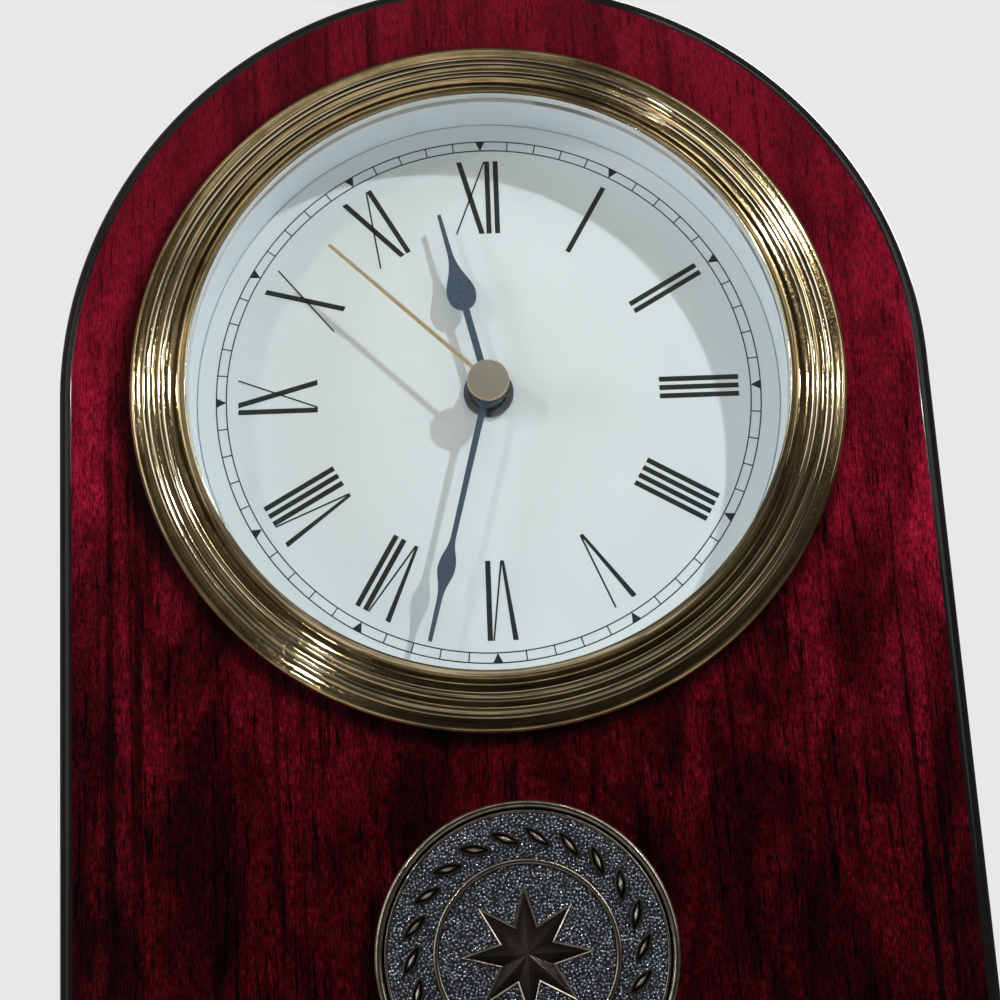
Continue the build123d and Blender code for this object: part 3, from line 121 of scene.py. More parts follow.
class ClockSizes(bpy.types.PropertyGroup):
    """Sizes of the visible pieces."""

    board_round: length("Board edge", "Rounding of the board's front and back edges", 2.3)
    plinth_top_round: length("Plinth top edge", "Rounding of the plinth's top edge", 6.0)
    plinth_corner_round: length("Plinth corners", "Rounding of the plinth's upright corners", 4.0)
    track_inner: length("Track inside", "Radius of the minute track's inner circle", 42.97)
    track_outer: length("Track outside", "Radius of the minute track's outer circle", 44.6)
    track_line: length("Track line", "Width of the minute track's lines", 0.2)
    track_mark: length("Five-minute mark", "Width of the triangle at every fifth minute", 1.65)
    numeral_foot: length("Numeral foot", "Radius at which the numerals start", 28.0)
    numeral_top: length("Numeral top", "Radius at which the numerals end", 41.0)
    thick_stroke: length("Thick stroke", "Width of the numerals' thick strokes", 0.85)
    thin_stroke: length("Thin stroke", "Width of the numerals' thin strokes", 0.28)
    ink: length("Ink", "Thickness of the dial's print", 0.02)
    grain_gap: length("Grain spacing", "Least distance between the grains on the medallion's field", 0.41)
    grain_radius: length("Grain radius", "Radius of a grain on the medallion's field", 0.235)
    relief_rim: length("Relief rim", "Width of the raised rim round each leaf on the medallion", 0.3)
    dial_turn: bpy.props.FloatProperty(
        name="Dial turn",
        description="Clockwise turn of the dial's print",
        default=math.radians(1.14),
        subtype="ANGLE",
    )
    leaves: bpy.props.IntProperty(
        name="Leaves", description="Leaves in the medallion's wreath", default=22, min=3
    )
    seed: bpy.props.IntProperty(name="Seed", description="Seed of the grains' places and sizes", default=7)


class ClockColours(bpy.types.PropertyGroup):
    """Colours of the finishes."""

    veneer: colour("Veneer", "Wine-red wood between the dark zones", (0.36, 0.0086, 0.0346))
    veneer_fleck: colour("Veneer flecks", "Pale short fibres in the wood", (0.62, 0.028, 0.072))
    lacquer: colour("Edge lacquer", "Black lacquer of the rounded edges", (0.004, 0.0035, 0.004))
    # The bezel's crest gold is partly painted highlight, and its deep gold and foot gold are painted shade in
    # the hollows and at the beads' feet
    gold: colour("Gold", "Gold plating on the bezel's crests", (0.97, 0.86, 0.62))
    gold_hollow_shade: colour("Deep gold", "Gold plating in the bezel's hollows", (0.64, 0.49, 0.26))
    gold_foot_shade: colour("Foot of the beads", "Shade-painted gold at the foot of the beads", (0.20, 0.14, 0.06))
    gold_brown: colour("Brown gold", "Gold plating in the hollows' darker patches", (0.46, 0.33, 0.16))
    dial: colour("Dial", "Dial paint", (0.73, 0.79, 0.80))
    ink: colour("Ink", "Print on the dial", (0.010, 0.016, 0.016))
    cup: colour("Cup", "Wall of the cup", (0.80, 0.90, 0.97))
    hands: colour("Hands", "Blue-black lacquer of the hands", (0.056, 0.088, 0.125))
    pewter: colour("Pewter", "Grains of the medallion's field", (0.55, 0.60, 0.72))
    bronze: colour("Bronze", "Rims of the medallion and of its relief", (0.56, 0.51, 0.43))
    relief: colour("Relief", "Sunk parts of the relief", (0.030, 0.030, 0.028))
    glass: colour("Glass", "Tint of the lens", (0.02, 0.03, 0.03))
    floor: colour("Floor", "Floor of the stage", (0.78, 0.77, 0.75))
    backdrop: colour("Backdrop", "Plain light behind the clock", (0.80, 0.81, 0.80))


def sizes():
    return bpy.context.scene.clock_sizes


def colours():
    return bpy.context.scene.clock_colours


def solid(tint):
    """A colour with full alpha."""
    return (tint[0], tint[1], tint[2], 1.0)


def shaded(tint, share):
    """A darker or brighter tone of a colour."""
    return tuple(share * part for part in tint)


def place(right, above, out):
    """A point in metres, from millimetres."""
    return (AXIS_X + right * MM, FACE_Y - out * MM, CENTRE_Z + above * MM)


def polar(radius, clockwise):
    """Right and above of a point on a circle, by its degrees from twelve o'clock."""
    turn = math.radians(clockwise)
    return (radius * math.sin(turn), radius * math.cos(turn))


def swung(corners, turn):
    """Corners of an outline that points up, turned clockwise about the dial axis by so many radians."""
    return [
        (right * math.cos(turn) + up * math.sin(turn), -right * math.sin(turn) + up * math.cos(turn))
        for right, up in corners
    ]


# Node helpers

def add(tree, kind, inputs=None, **settings):
    """A node with its settings, and its inputs by name or number, as values or links."""
    made = tree.nodes.new(kind)
    for key, value in settings.items():
        setattr(made, key, value)
    for key, value in (inputs or {}).items():
        if isinstance(value, bpy.types.NodeSocket):
            tree.links.new(value, made.inputs[key])
        else:
            made.inputs[key].default_value = value
    return made


def calc(tree, operation, first, second):
    return add(tree, "ShaderNodeMath", {0: first, 1: second}, operation=operation).outputs[0]


def times(tree, first, second):
    return calc(tree, "MULTIPLY", first, second)


def stretch(tree, value, low, high, to_low=0.0, to_high=1.0):
    """A value moved smoothly from one range to another."""
    moved = add(
        tree,
        "ShaderNodeMapRange",
        {"Value": value, "From Min": low, "From Max": high, "To Min": to_low, "To Max": to_high},
        interpolation_type="SMOOTHSTEP",
    )
    return moved.outputs["Result"]


def blended(tree, share, first, second, way="MIX"):
    mix = add(tree, "ShaderNodeMix", {0: share, 6: first, 7: second}, data_type="RGBA", blend_type=way)
    return mix.outputs[2]


def own_place(tree):
    """The piece's own coordinates."""
    return add(tree, "ShaderNodeTexCoord").outputs["Object"]


def own_axis(tree, axis):
    """One of the piece's own coordinates."""
    return add(tree, "ShaderNodeSeparateXYZ", {0: own_place(tree)}).outputs[axis]


def noise(tree, where, detail, roughness=0.5, distortion=0.0):
    made = add(
        tree,
        "ShaderNodeTexNoise",
        {"Vector": where, "Scale": 1.0, "Detail": detail, "Roughness": roughness, "Distortion": distortion},
    )
    return made.outputs["Fac"]


def grain(tree, waves, detail, roughness=0.55, distortion=0.0, turn=(0, 0, 0), shift=(0, 0, 0)):
    """Noise on the piece's own coordinates, with so many waves to a metre along each axis."""
    mapped = add(
        tree,
        "ShaderNodeMapping",
        {"Vector": own_place(tree), "Scale": waves, "Rotation": turn, "Location": shift},
    )
    return noise(tree, mapped.outputs["Vector"], detail, roughness, distortion)


def speckle(tree, waves, detail=3.0):
    """Noise that is the same in all directions."""
    return grain(tree, (waves, waves, waves), detail)


def about_axis(tree, right=0.0, above=0.0):
    """The piece's own place beside the dial axis, or beside a line that is parallel to it."""
    moved = add(
        tree,
        "ShaderNodeMapping",
        {
            "Vector": own_place(tree),
            "Location": (-AXIS_X - right * MM, 0.0, -CENTRE_Z - above * MM),
            "Scale": (1.0, 0.0, 1.0),
        },
    )
    return moved.outputs["Vector"]


def from_axis(tree, right=0.0, above=0.0):
    """Distance in metres from the dial axis, or from a line that is parallel to it."""
    beside = about_axis(tree, right, above)
    return add(tree, "ShaderNodeVectorMath", {0: beside}, operation="LENGTH").outputs["Value"]


def along_rings(tree, across, around):
    """Coordinates that change fast across the rings round the dial axis and slowly along them."""
    heading = add(tree, "ShaderNodeVectorMath", {0: about_axis(tree)}, operation="NORMALIZE")
    slow = add(tree, "ShaderNodeVectorMath", {0: heading.outputs[0], "Scale": around}, operation="SCALE")
    fast = add(tree, "ShaderNodeCombineXYZ", {"Y": times(tree, from_axis(tree), across)})
    both = add(tree, "ShaderNodeVectorMath", {0: slow.outputs[0], 1: fast.outputs[0]}, operation="ADD")
    return both.outputs[0]


def bump(tree, shader, height, strength, distance):
    ridge = add(tree, "ShaderNodeBump", {"Height": height, "Strength": strength, "Distance": distance})
    tree.links.new(ridge.outputs["Normal"], shader.inputs["Normal"])


# Finishes

def new_finish(name, **sockets):
    """A material whose constant values are set on the shader's own sockets."""
    material = bpy.data.materials.new(name)
    material.use_nodes = True
    tree = material.node_tree
    shader = tree.nodes["Principled BSDF"]
    for key, value in sockets.items():
        shader.inputs[key.replace("_", " ").title().replace("Ior", "IOR")].default_value = value
    return material, tree, shader


# A layer of the veneer's figure: its noise, and the part of the noise that is spread over a range of brightness
Figure = namedtuple("Figure", "waves detail roughness distortion shift noise brightness")

VENEER_FIGURE = (
    # Broad dark zones
    Figure((95, 95, 30), 4.0, 0.6, 0.8, (0.0, 0.0, 0.0), (0.36, 0.66), (1.2, 0.45)),
    # Long dark streaks
    Figure((420, 420, 6), 2.0, 0.5, 0.2, (3.1, 0.0, 1.7), (0.58, 0.70), (1.0, 0.45)),
    # Mottle of a few millimetres
    Figure((800, 800, 260), 3.0, 0.6, 0.4, (5.2, 0.0, 1.3), (0.28, 0.72), (0.78, 1.22)),
    # Pores
    Figure((1500, 1500, 110), 2.0, 0.6, 0.2, (8.4, 0.0, 2.6), (0.56, 0.70), (1.05, 0.35)),
    # Short fibres
    Figure((4200, 4200, 760), 2.0, 0.6, 0.1, (0.0, 0.0, 0.0), (0.28, 0.72), (0.42, 1.65)),
    # Rays across the grain
    Figure((700, 700, 4600), 2.0, 0.5, 0.0, (1.9, 0.0, 6.3), (0.28, 0.72), (0.86, 1.14)),
)


def veneer_finish(name, turn=(0, 0, 0)):
    """Wine-red figured veneer with a fibre sheen under gloss lacquer, its grain upright unless turned."""
    tints = colours()
    material, tree, shader = new_finish(
        name,
        metallic=0.98,
        roughness=0.30,
        specular_ior_level=0.0,
        coat_weight=1.0,
        coat_roughness=0.025,
        coat_ior=1.5,
    )
    tone = None
    for layer in VENEER_FIGURE:
        figure = grain(tree, layer.waves, layer.detail, layer.roughness, layer.distortion, turn, layer.shift)
        figure = stretch(tree, figure, *layer.noise, *layer.brightness)
        tone = times(tree, tone, figure) if tone else figure
    # Painted shade: the figure is stronger and the wood darker towards the foot
    height = own_axis(tree, "Z")
    tone = calc(tree, "POWER", tone, stretch(tree, height, 0.06, 0.2, 1.9, 0.75))
    tone = times(tree, tone, stretch(tree, height, 0.04, 0.14, 0.46, 1.0))
    # Painted shadow: a ring darkens the wood under the bezel's edge, centred a little to the lower left
    shadow_start, shadow_end = (BEZEL_RADIUS - 0.2) * MM, (BEZEL_RADIUS + 2.8) * MM
    tone = times(tree, tone, stretch(tree, from_axis(tree, -0.9, -0.8), shadow_start, shadow_end, 0.2, 1.0))
    wood = blended(tree, 1.0, solid(tints.veneer), tone, "MULTIPLY")
    fibre = grain(tree, (5200, 5200, 1100), 2.0, 0.6, 0.2, turn, (0.7, 2.3, 4.1))
    fleck = times(tree, stretch(tree, fibre, 0.58, 0.80, 0.0, 0.6), tone)
    wood = blended(tree, fleck, wood, solid(tints.veneer_fleck))
    tree.links.new(wood, shader.inputs["Base Color"])
    return material


def lacquer_finish(name):
    """Black gloss lacquer with the faint unevenness of a polished coat."""
    material, tree, shader = new_finish(name, coat_weight=0.15, coat_roughness=0.03, specular_ior_level=0.2)
    cloud = speckle(tree, 90)
    tone = blended(tree, cloud, solid(colours().lacquer), (0.010, 0.007, 0.008, 1.0))
    tree.links.new(tone, shader.inputs["Base Color"])
    tree.links.new(stretch(tree, cloud, 0.3, 0.7, 0.10, 0.22), shader.inputs["Roughness"])
    return material


def gold_finish(name):
    """Polished plating with the fine rings of turning, brown in its hollows in painted shade and pale on its
    crests in painted highlight.
    """
    tints = colours()
    material, tree, shader = new_finish(name, metallic=1.0)
    # Painted shade darkens the hollows and the beads' feet, and painted highlight pales the crests
    crest = add(tree, "ShaderNodeAttribute", attribute_name="crest").outputs["Fac"]
    patch = stretch(tree, speckle(tree, 240), 0.35, 0.7)
    hollow = blended(tree, patch, solid(tints.gold_hollow_shade), solid(tints.gold_brown))
    hollow = blended(tree, stretch(tree, crest, 0.0, 0.35), solid(tints.gold_foot_shade), hollow)
    tone = blended(tree, stretch(tree, crest, 0.35, 1.0), hollow, solid(tints.gold))
    stain = noise(tree, along_rings(tree, 1500.0, 3.0), 3.0, 0.6)
    tone = blended(tree, 1.0, tone, stretch(tree, stain, 0.38, 0.6, 0.45, 1.05), "MULTIPLY")
    tree.links.new(tone, shader.inputs["Base Color"])
    fine = speckle(tree, 2600, 2.0)
    tree.links.new(stretch(tree, fine, 0.3, 0.75, 0.04, 0.12), shader.inputs["Roughness"])
    rings = add(
        tree,
        "ShaderNodeTexNoise",
        {"W": from_axis(tree), "Scale": 9000.0, "Detail": 2.0},
        noise_dimensions="1D",
    )
    drawn = noise(tree, along_rings(tree, 2200.0, 5.0), 2.0)
    height = calc(tree, "ADD", times(tree, rings.outputs["Fac"], 0.03), drawn)
    bump(tree, shader, height, 0.22, 0.00005)
    return material


def painted_finish(name, tint, roughness, speck=0.06, fineness=2500, metallic=0.0, depth=0.00002, coat=0.0):
    """Paint, moulded plastic or satin metal: a faint cloud in its colour, a varied gloss and a fine skin."""
    material, tree, shader = new_finish(name, metallic=metallic, coat_weight=coat, coat_roughness=0.05)
    skin = speckle(tree, fineness, 2.0)
    low = solid(shaded(tint, 1.0 - speck))
    high = solid([min(1.0, part) for part in shaded(tint, 1.0 + speck)])
    tree.links.new(blended(tree, speckle(tree, 140), low, high), shader.inputs["Base Color"])
    gloss = stretch(tree, skin, 0.25, 0.75, roughness * 0.85, min(1.0, roughness * 1.15))
    tree.links.new(gloss, shader.inputs["Roughness"])
    bump(tree, shader, skin, 0.25, depth)
    return material


def wound_finish(name):
    """Enamelled copper wire, wound side by side along the coil."""
    material, tree, shader = new_finish(name, metallic=0.9, roughness=0.3)
    wires = add(
        tree,
        "ShaderNodeTexWave",
        {"Vector": own_place(tree), "Scale": 1200.0, "Distortion": 0.4},
        bands_direction="X",
    ).outputs["Fac"]
    tone = blended(tree, wires, (0.20, 0.07, 0.03, 1.0), (0.62, 0.27, 0.12, 1.0))
    tree.links.new(tone, shader.inputs["Base Color"])
    bump(tree, shader, wires, 0.6, 0.00005)
    return material


def lens_finish(name):
    """Clear glass with a faint film on it."""
    material, tree, shader = new_finish(name, ior=1.5, alpha=0.07)
    film = speckle(tree, 60)
    tone = blended(tree, film, solid(colours().glass), (0.05, 0.06, 0.06, 1.0))
    tree.links.new(tone, shader.inputs["Base Color"])
    tree.links.new(stretch(tree, film, 0.3, 0.7, 0.01, 0.04), shader.inputs["Roughness"])
    return material


def worn_finish(name, low_tint, high_tint, start, end, roughness):
    """Metal that is dark where it is sunk and bright where it stands out and gets rubbed.

    It starts to brighten at one level out from the board's face, and is rubbed bright at the other.
    """
    material, tree, shader = new_finish(name, metallic=1.0)
    risen = stretch(tree, own_axis(tree, "Y"), FACE_Y - start * MM, FACE_Y - end * MM)
    cloud = speckle(tree, 500)
    dull = stretch(tree, cloud, 0.35, 0.7, 0.0, 0.45)
    rubbed = blended(tree, dull, solid(high_tint), solid(low_tint))
    tree.links.new(blended(tree, risen, solid(low_tint), rubbed), shader.inputs["Base Color"])
    gloss = stretch(tree, cloud, 0.3, 0.7, roughness * 0.75, roughness * 1.3)
    tree.links.new(gloss, shader.inputs["Roughness"])
    bump(tree, shader, speckle(tree, 2200, 2.0), 0.2, 0.00004)
    return material


# Mesh helpers

def lies_flat(normal):
    return max(abs(normal.x), abs(normal.y), abs(normal.z)) > 0.999999


def finished_mesh(name, points, faces, materials, which, crisp):
    """A closed mesh with outward faces, smooth apart from its corners and the rims of its flats."""
    mesh = bpy.data.meshes.new(name)
    mesh.from_pydata(points, [], faces)
    mesh.polygons.foreach_set("material_index", which)
    work = bmesh.new()
    work.from_mesh(mesh)
    bmesh.ops.remove_doubles(work, verts=work.verts, dist=1e-7)
    bmesh.ops.recalc_face_normals(work, faces=work.faces)
    for face in work.faces:
        face.smooth = True
    for edge in work.edges:
        if len(edge.link_faces) == 2:
            first, second = (face.normal for face in edge.link_faces)
            bend = first.angle(second, 0.0)
            flat_rim = bend > 0.001 and lies_flat(first) != lies_flat(second)
            edge.smooth = bend < math.radians(crisp) and not flat_rim
    work.to_mesh(mesh)
    work.free()
    for material in materials:
        mesh.materials.append(material)
    return mesh


def linked(name, mesh):
    piece = bpy.data.objects.new(name, mesh)
    bpy.context.scene.collection.objects.link(piece)
    return piece


def settle(piece, body, slot, *nodes):
    """Puts a finished piece on its body, and in the place of the nodes that it stands for. Its slot is not
    used.
    """
    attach(piece, body)
    for node in nodes:
        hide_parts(node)


def wear(material, *nodes):
    """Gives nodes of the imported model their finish."""
    for node in nodes:
        piece = frame["nodes"][node]
        piece.data.materials.clear()
        piece.data.materials.append(material)


def circle_loop(radius, about, out, segments):
    ring = []
    for step in range(segments):
        right, up = polar(radius, 360.0 * step / segments)
        ring.append(place(about[0] + right, about[1] + up, out))
    return ring


class Shape:
    """Points and faces of one piece, gathered shell by shell, each face with the number of its finish."""

    def __init__(self):
        self.points = []
        self.faces = []
        self.which = []

    def loop(self, points):
        start = len(self.points)
        self.points.extend(points)
        return list(range(start, len(self.points)))

    def flat_loop(self, corners, out, about=ON_AXIS):
        """A loop of (right, up) corners at one level."""
        return self.loop([place(about[0] + right, about[1] + up, out) for right, up in corners])

    def face(self, corners, kind=0):
        self.faces.append(tuple(corners))
        self.which.append(kind)

    def wall(self, first, second, kind=0):
        """Faces between two closed loops; either may be one point."""
        count = max(len(first), len(second))
        for step in range(count):
            after = (step + 1) % count
            corners = [
                first[step % len(first)],
                first[after % len(first)],
                second[after % len(second)],
                second[step % len(second)],
            ]
            self.face(dict.fromkeys(corners), kind)

    def walls(self, loops, kind=0):
        for first, second in zip(loops, loops[1:]):
            self.wall(first, second, kind)

    def turned(self, profile, segments=192, about=ON_AXIS):
        """Turns a profile of (radius, out) about an axis through the board."""
        loops = []
        for radius, out in profile:
            if radius < 1e-6:
                loops.append(self.loop([place(*about, out)]))
            else:
                loops.append(self.loop(circle_loop(radius, about, out, segments)))
        self.walls(loops)
        if len(loops[0]) > 1:
            self.wall(loops[-1], loops[0])

    def fill(self, flats):
        """Closes flats that have holes in them, each given as the number of its finish and its rims."""
        mesh = bpy.data.meshes.new("flats")
        mesh.from_pydata(self.points, [], self.faces)
        mesh.polygons.foreach_set("material_index", self.which)
        work = bmesh.new()
        work.from_mesh(mesh)
        work.verts.ensure_lookup_table()
        for kind, rims in flats:
            edges = []
            for rim in rims:
                for number, corner in enumerate(rim):
                    pair = (work.verts[rim[number - 1]], work.verts[corner])
                    edges.append(work.edges.get(pair) or work.edges.new(pair))
            filled = bmesh.ops.triangle_fill(work, edges=edges, use_beauty=True)
            for item in filled["geom"]:
                if isinstance(item, bmesh.types.BMFace):
                    item.material_index = kind
        work.to_mesh(mesh)
        work.free()
        self.points = [tuple(vertex.co) for vertex in mesh.vertices]
        self.faces = [tuple(polygon.vertices) for polygon in mesh.polygons]
        self.which = [polygon.material_index for polygon in mesh.polygons]
        bpy.data.meshes.remove(mesh)

    def refinish(self, kind, nearest=0.0, farthest=math.inf, about=ON_AXIS):
        """Gives another finish to the faces whose outermost corner lies between two distances from an axis."""
        middle = Vector(place(*about, 0.0))
        for number, corners in enumerate(self.faces):
            spots = [Vector(self.points[corner]) - middle for corner in corners]
            if nearest < max(math.hypot(spot.x, spot.z) for spot in spots) / MM < farthest:
                self.which[number] = kind

    def mesh(self, name, finishes, crisp=32.0):
        """The closed mesh; edges that bend more than so many degrees stay crisp."""
        return finished_mesh(name, self.points, self.faces, finishes, self.which, crisp)

    def piece(self, name, finishes, crisp=32.0):
        return linked(name, self.mesh(name, finishes, crisp))


def arc(start, middle, end, steps):
    """Points on the arc through three points, without the first."""
    ax, ay = start
    bx, by = middle
    cx, cy = end
    area = 2.0 * (ax * (by - cy) + bx * (cy - ay) + cx * (ay - by))
    ux = ((ax**2 + ay**2) * (by - cy) + (bx**2 + by**2) * (cy - ay) + (cx**2 + cy**2) * (ay - by)) / area
    uy = ((ax**2 + ay**2) * (cx - bx) + (bx**2 + by**2) * (ax - cx) + (cx**2 + cy**2) * (bx - ax)) / area
    radius = math.hypot(ax - ux, ay - uy)
    from_turn = math.atan2(ay - uy, ax - ux)
    sweep = math.atan2(cy - uy, cx - ux) - from_turn
    half = math.atan2(by - uy, bx - ux) - from_turn
    half = (half + math.pi) % (2 * math.pi) - math.pi
    sweep = (sweep + math.pi) % (2 * math.pi) - math.pi
    if half * sweep < 0:
        sweep += math.copysign(2 * math.pi, half)
    turns = [from_turn + sweep * step / steps for step in range(1, steps + 1)]
    return [(ux + radius * math.cos(turn), uy + radius * math.sin(turn)) for turn in turns]


def quarter_round(radius, steps=12):
    """Steps over a rounded edge, each as how far it lies inside the side and below the top."""
    turns = [math.radians(90.0 * step / steps) for step in range(steps + 1)]
    return [(radius * (1 - math.cos(turn)), radius * (1 - math.sin(turn))) for turn in turns]


def inset(outline, distance):
    """An outline moved inwards, corner by corner; the outline runs anticlockwise."""
    moved = []
    count = len(outline)
    for number, point in enumerate(outline):
        before = Vector(outline[number - 1])
        here = Vector(point)
        after = Vector(outline[(number + 1) % count])
        first = (here - before).normalized()
        second = (after - here).normalized()
        middle = Vector((-first.y - second.y, first.x + second.x)).normalized()
        lean = max(0.25, middle.dot(Vector((-first.y, first.x))))
        moved.append(tuple(here + middle * distance / lean))
    return moved


def curve_points(corners, steps):
    """Points on a cubic curve with four corners, without the first."""
    points = []
    for step in range(1, steps + 1):
        share = step / steps
        rest = 1.0 - share
        weights = (rest**3, 3 * rest**2 * share, 3 * rest * share**2, share**3)
        points.append(tuple(sum(w * corner[axis] for w, corner in zip(weights, corners)) for axis in (0, 1)))
    return points


# Geometry Nodes helpers

def node_tree(name, **inputs):
    """An empty tree with a geometry in and out, and its inputs by name, each with its kind of socket."""
    tree = bpy.data.node_groups.new(name, "GeometryNodeTree")
    tree.interface.new_socket("Geometry", in_out="INPUT", socket_type="NodeSocketGeometry")
    identifiers = {}
    for label, kind in inputs.items():
        socket = tree.interface.new_socket(label, in_out="INPUT", socket_type="NodeSocket" + kind)
        identifiers[label] = socket.identifier
    tree.interface.new_socket("Geometry", in_out="OUTPUT", socket_type="NodeSocketGeometry")
    return tree, identifiers, tree.nodes.new("NodeGroupInput").outputs


def end_tree(tree, given, geometry, about, out, turn=0.0):
    """Stands geometry that lies in XY against the clock's face, and ends a tree with it in one material."""
    stood = add(
        tree,
        "GeometryNodeTransform",
        {"Geometry": geometry, "Translation": place(*about, out), "Rotation": (math.pi / 2, turn, 0.0)},
    )
    real = add(tree, "GeometryNodeRealizeInstances", {"Geometry": stood.outputs[0]})
    finish = {"Geometry": real.outputs[0], "Material": given["Material"]}
    finished = add(tree, "GeometryNodeSetMaterial", finish)
    tree.links.new(finished.outputs[0], tree.nodes.new("NodeGroupOutput").inputs[0])


def grown(name, start, tree, identifiers, **values):
    """The plain mesh that a tree makes from a starting mesh."""
    piece = linked(name, start)
    modifier = piece.modifiers.new(tree.name, "NODES")
    modifier.node_group = tree
    for label, value in values.items():
        modifier[identifiers[label]] = value
    evaluated = piece.evaluated_get(bpy.context.evaluated_depsgraph_get())
    mesh = bpy.data.meshes.new_from_object(evaluated)
    piece.modifiers.clear()
    piece.data = mesh
    mesh.name = name
    if not mesh.polygons:
        raise RuntimeError(name + " came out empty")
    return piece


def ring_points(tree, count, radius):
    """Points round a circle."""
    circle = add(tree, "GeometryNodeMeshCircle", {"Vertices": count, "Radius": radius})
    return add(tree, "GeometryNodeMeshToPoints", {"Mesh": circle.outputs[0]}).outputs[0]


def ring_turn(tree, count, tilt=0.0):
    """A turn about Z for each of the points round a circle."""
    number = add(tree, "GeometryNodeInputIndex").outputs[0]
    turn = times(tree, calc(tree, "DIVIDE", number, count), 2 * math.pi)
    return add(tree, "ShaderNodeCombineXYZ", {"Z": calc(tree, "ADD", turn, tilt)}).outputs[0]


# Pieces

def arch_loop(inward, out):
    """The board's outline, so far inside its edge, from the left foot over the arch to the right foot."""
    half = BOARD_HIGH.x / MM - inward
    middle, spring = ARCH_AT
    foot = (BOARD_LOW.z - CENTRE_Z) / MM
    side_steps, arch_steps = 8, 160
    rises = [foot + (spring - foot) * step / side_steps for step in range(side_steps)]
    outline = [place(middle - half, rise, out) for rise in rises]
    for step in range(arch_steps + 1):
        right, up = polar(half, -90.0 + 180.0 * step / arch_steps)
        outline.append(place(middle + right, spring + up, out))
    outline.extend(place(middle + half, rise, out) for rise in reversed(rises))
    return outline


class CLOCK_OT_board(bpy.types.Operator):
    """Arched board: veneered front, black rounded edges, bored for the insert and sunk for the medallion."""

    bl_idname = "clock.board"
    bl_label = "Board"

    def execute(self, context):
        thick = (BOARD_HIGH.y - BOARD_LOW.y) / MM
        fit = 0.1
        recess_depth = 1.5
        front, edge, back = 0, 1, 2
        shape = Shape()
        levels = [(inward, -below) for below, inward in quarter_round(sizes().board_round / MM)]
        levels += [(inward, -thick - out) for inward, out in reversed(levels)]
        loops = [shape.loop(arch_loop(inward, out)) for inward, out in levels]
        shape.walls(loops, edge)
        bore = SKIRT_OUTSIDE + fit
        front_bore, back_bore = (shape.loop(circle_loop(bore, ON_AXIS, out, 192)) for out in (0.0, -thick))
        shape.wall(front_bore, back_bore, back)
        recess = MEDALLION_RADIUS + fit
        sunk_edge, sunk_floor = (
            shape.loop(circle_loop(recess, MEDALLION_AT, out, 96)) for out in (0.0, -recess_depth)
        )
        shape.wall(sunk_edge, sunk_floor, edge)
        shape.face(sunk_floor, edge)
        shape.fill(((front, (loops[0], front_bore, sunk_edge)), (back, (loops[-1], back_bore))))
        finishes = [
            veneer_finish("board veneer"),
            lacquer_finish("board edge lacquer"),
            painted_finish("back paint", (0.020, 0.018, 0.018), 0.5, speck=0.3, fineness=1500, depth=0.00003),
        ]
        board = shape.piece("board_veneered", finishes)
        settle(board, "case", "gloss_wood", "board")
        return {"FINISHED"}


def block_loop(half_width, half_depth, corner, height):
    """A rounded rectangle round the plinth's middle; its corners never come quite to a point."""
    middle_y = (PLINTH_LOW.y + PLINTH_HIGH.y) / 2
    steps, least_corner = 8, 0.02
    outline = []
    corner = max(corner, least_corner)
    for side_x, side_y, start in ((1, 1, 0), (-1, 1, 90), (-1, -1, 180), (1, -1, 270)):
        for step in range(steps + 1):
            turn = math.radians(start + 90.0 * step / steps)
            right = side_x * (half_width - corner) + corner * math.cos(turn)
            back = side_y * (half_depth - corner) + corner * math.sin(turn)
            outline.append((right * MM, middle_y + back * MM, height * MM))
    return outline


class CLOCK_OT_plinth(bpy.types.Operator):
    """Plinth: veneered sides and top, with a black rounded edge, on its rubber feet."""

    bl_idname = "clock.plinth"
    bl_label = "Plinth and feet"

    def execute(self, context):
        corner = sizes().plinth_corner_round / MM
        half_width = (PLINTH_HIGH.x - PLINTH_LOW.x) / 2 / MM
        half_depth = (PLINTH_HIGH.y - PLINTH_LOW.y) / 2 / MM
        low, high = PLINTH_LOW.z / MM, PLINTH_HIGH.z / MM
        bevel = 0.4
        veneer, edge = 0, 1
        levels = [(bevel, low), (0.0, low + bevel)]
        levels += [(inward, high - below) for inward, below in quarter_round(sizes().plinth_top_round / MM)]
        shape = Shape()
        loops = [
            shape.loop(block_loop(half_width - inward, half_depth - inward, corner - inward, level))
            for inward, level in levels
        ]
        shape.face(loops[0], edge)
        shape.walls(loops[:2], edge)
        shape.walls(loops[1:3], veneer)
        shape.walls(loops[2:], edge)
        shape.face(loops[-1], veneer)
        lengthwise = (0.0, math.pi / 2, 0.0)
        finishes = [veneer_finish("plinth veneer", lengthwise), lacquer_finish("plinth edge lacquer")]
        plinth = shape.piece("plinth_lacquered", finishes)
        settle(plinth, "case", "gloss_wood", "plinth")
        rubber = painted_finish(
            "foot rubber", (0.025, 0.025, 0.026), 0.75, speck=0.2, fineness=1800, depth=0.00006
        )
        wear(rubber, "rubber_feet")
        steel = painted_finish("screw steel", (0.55, 0.56, 0.57), 0.3, speck=0.1, fineness=900, metallic=1.0)
        wear(steel, "plinth_screws")
        return {"FINISHED"}


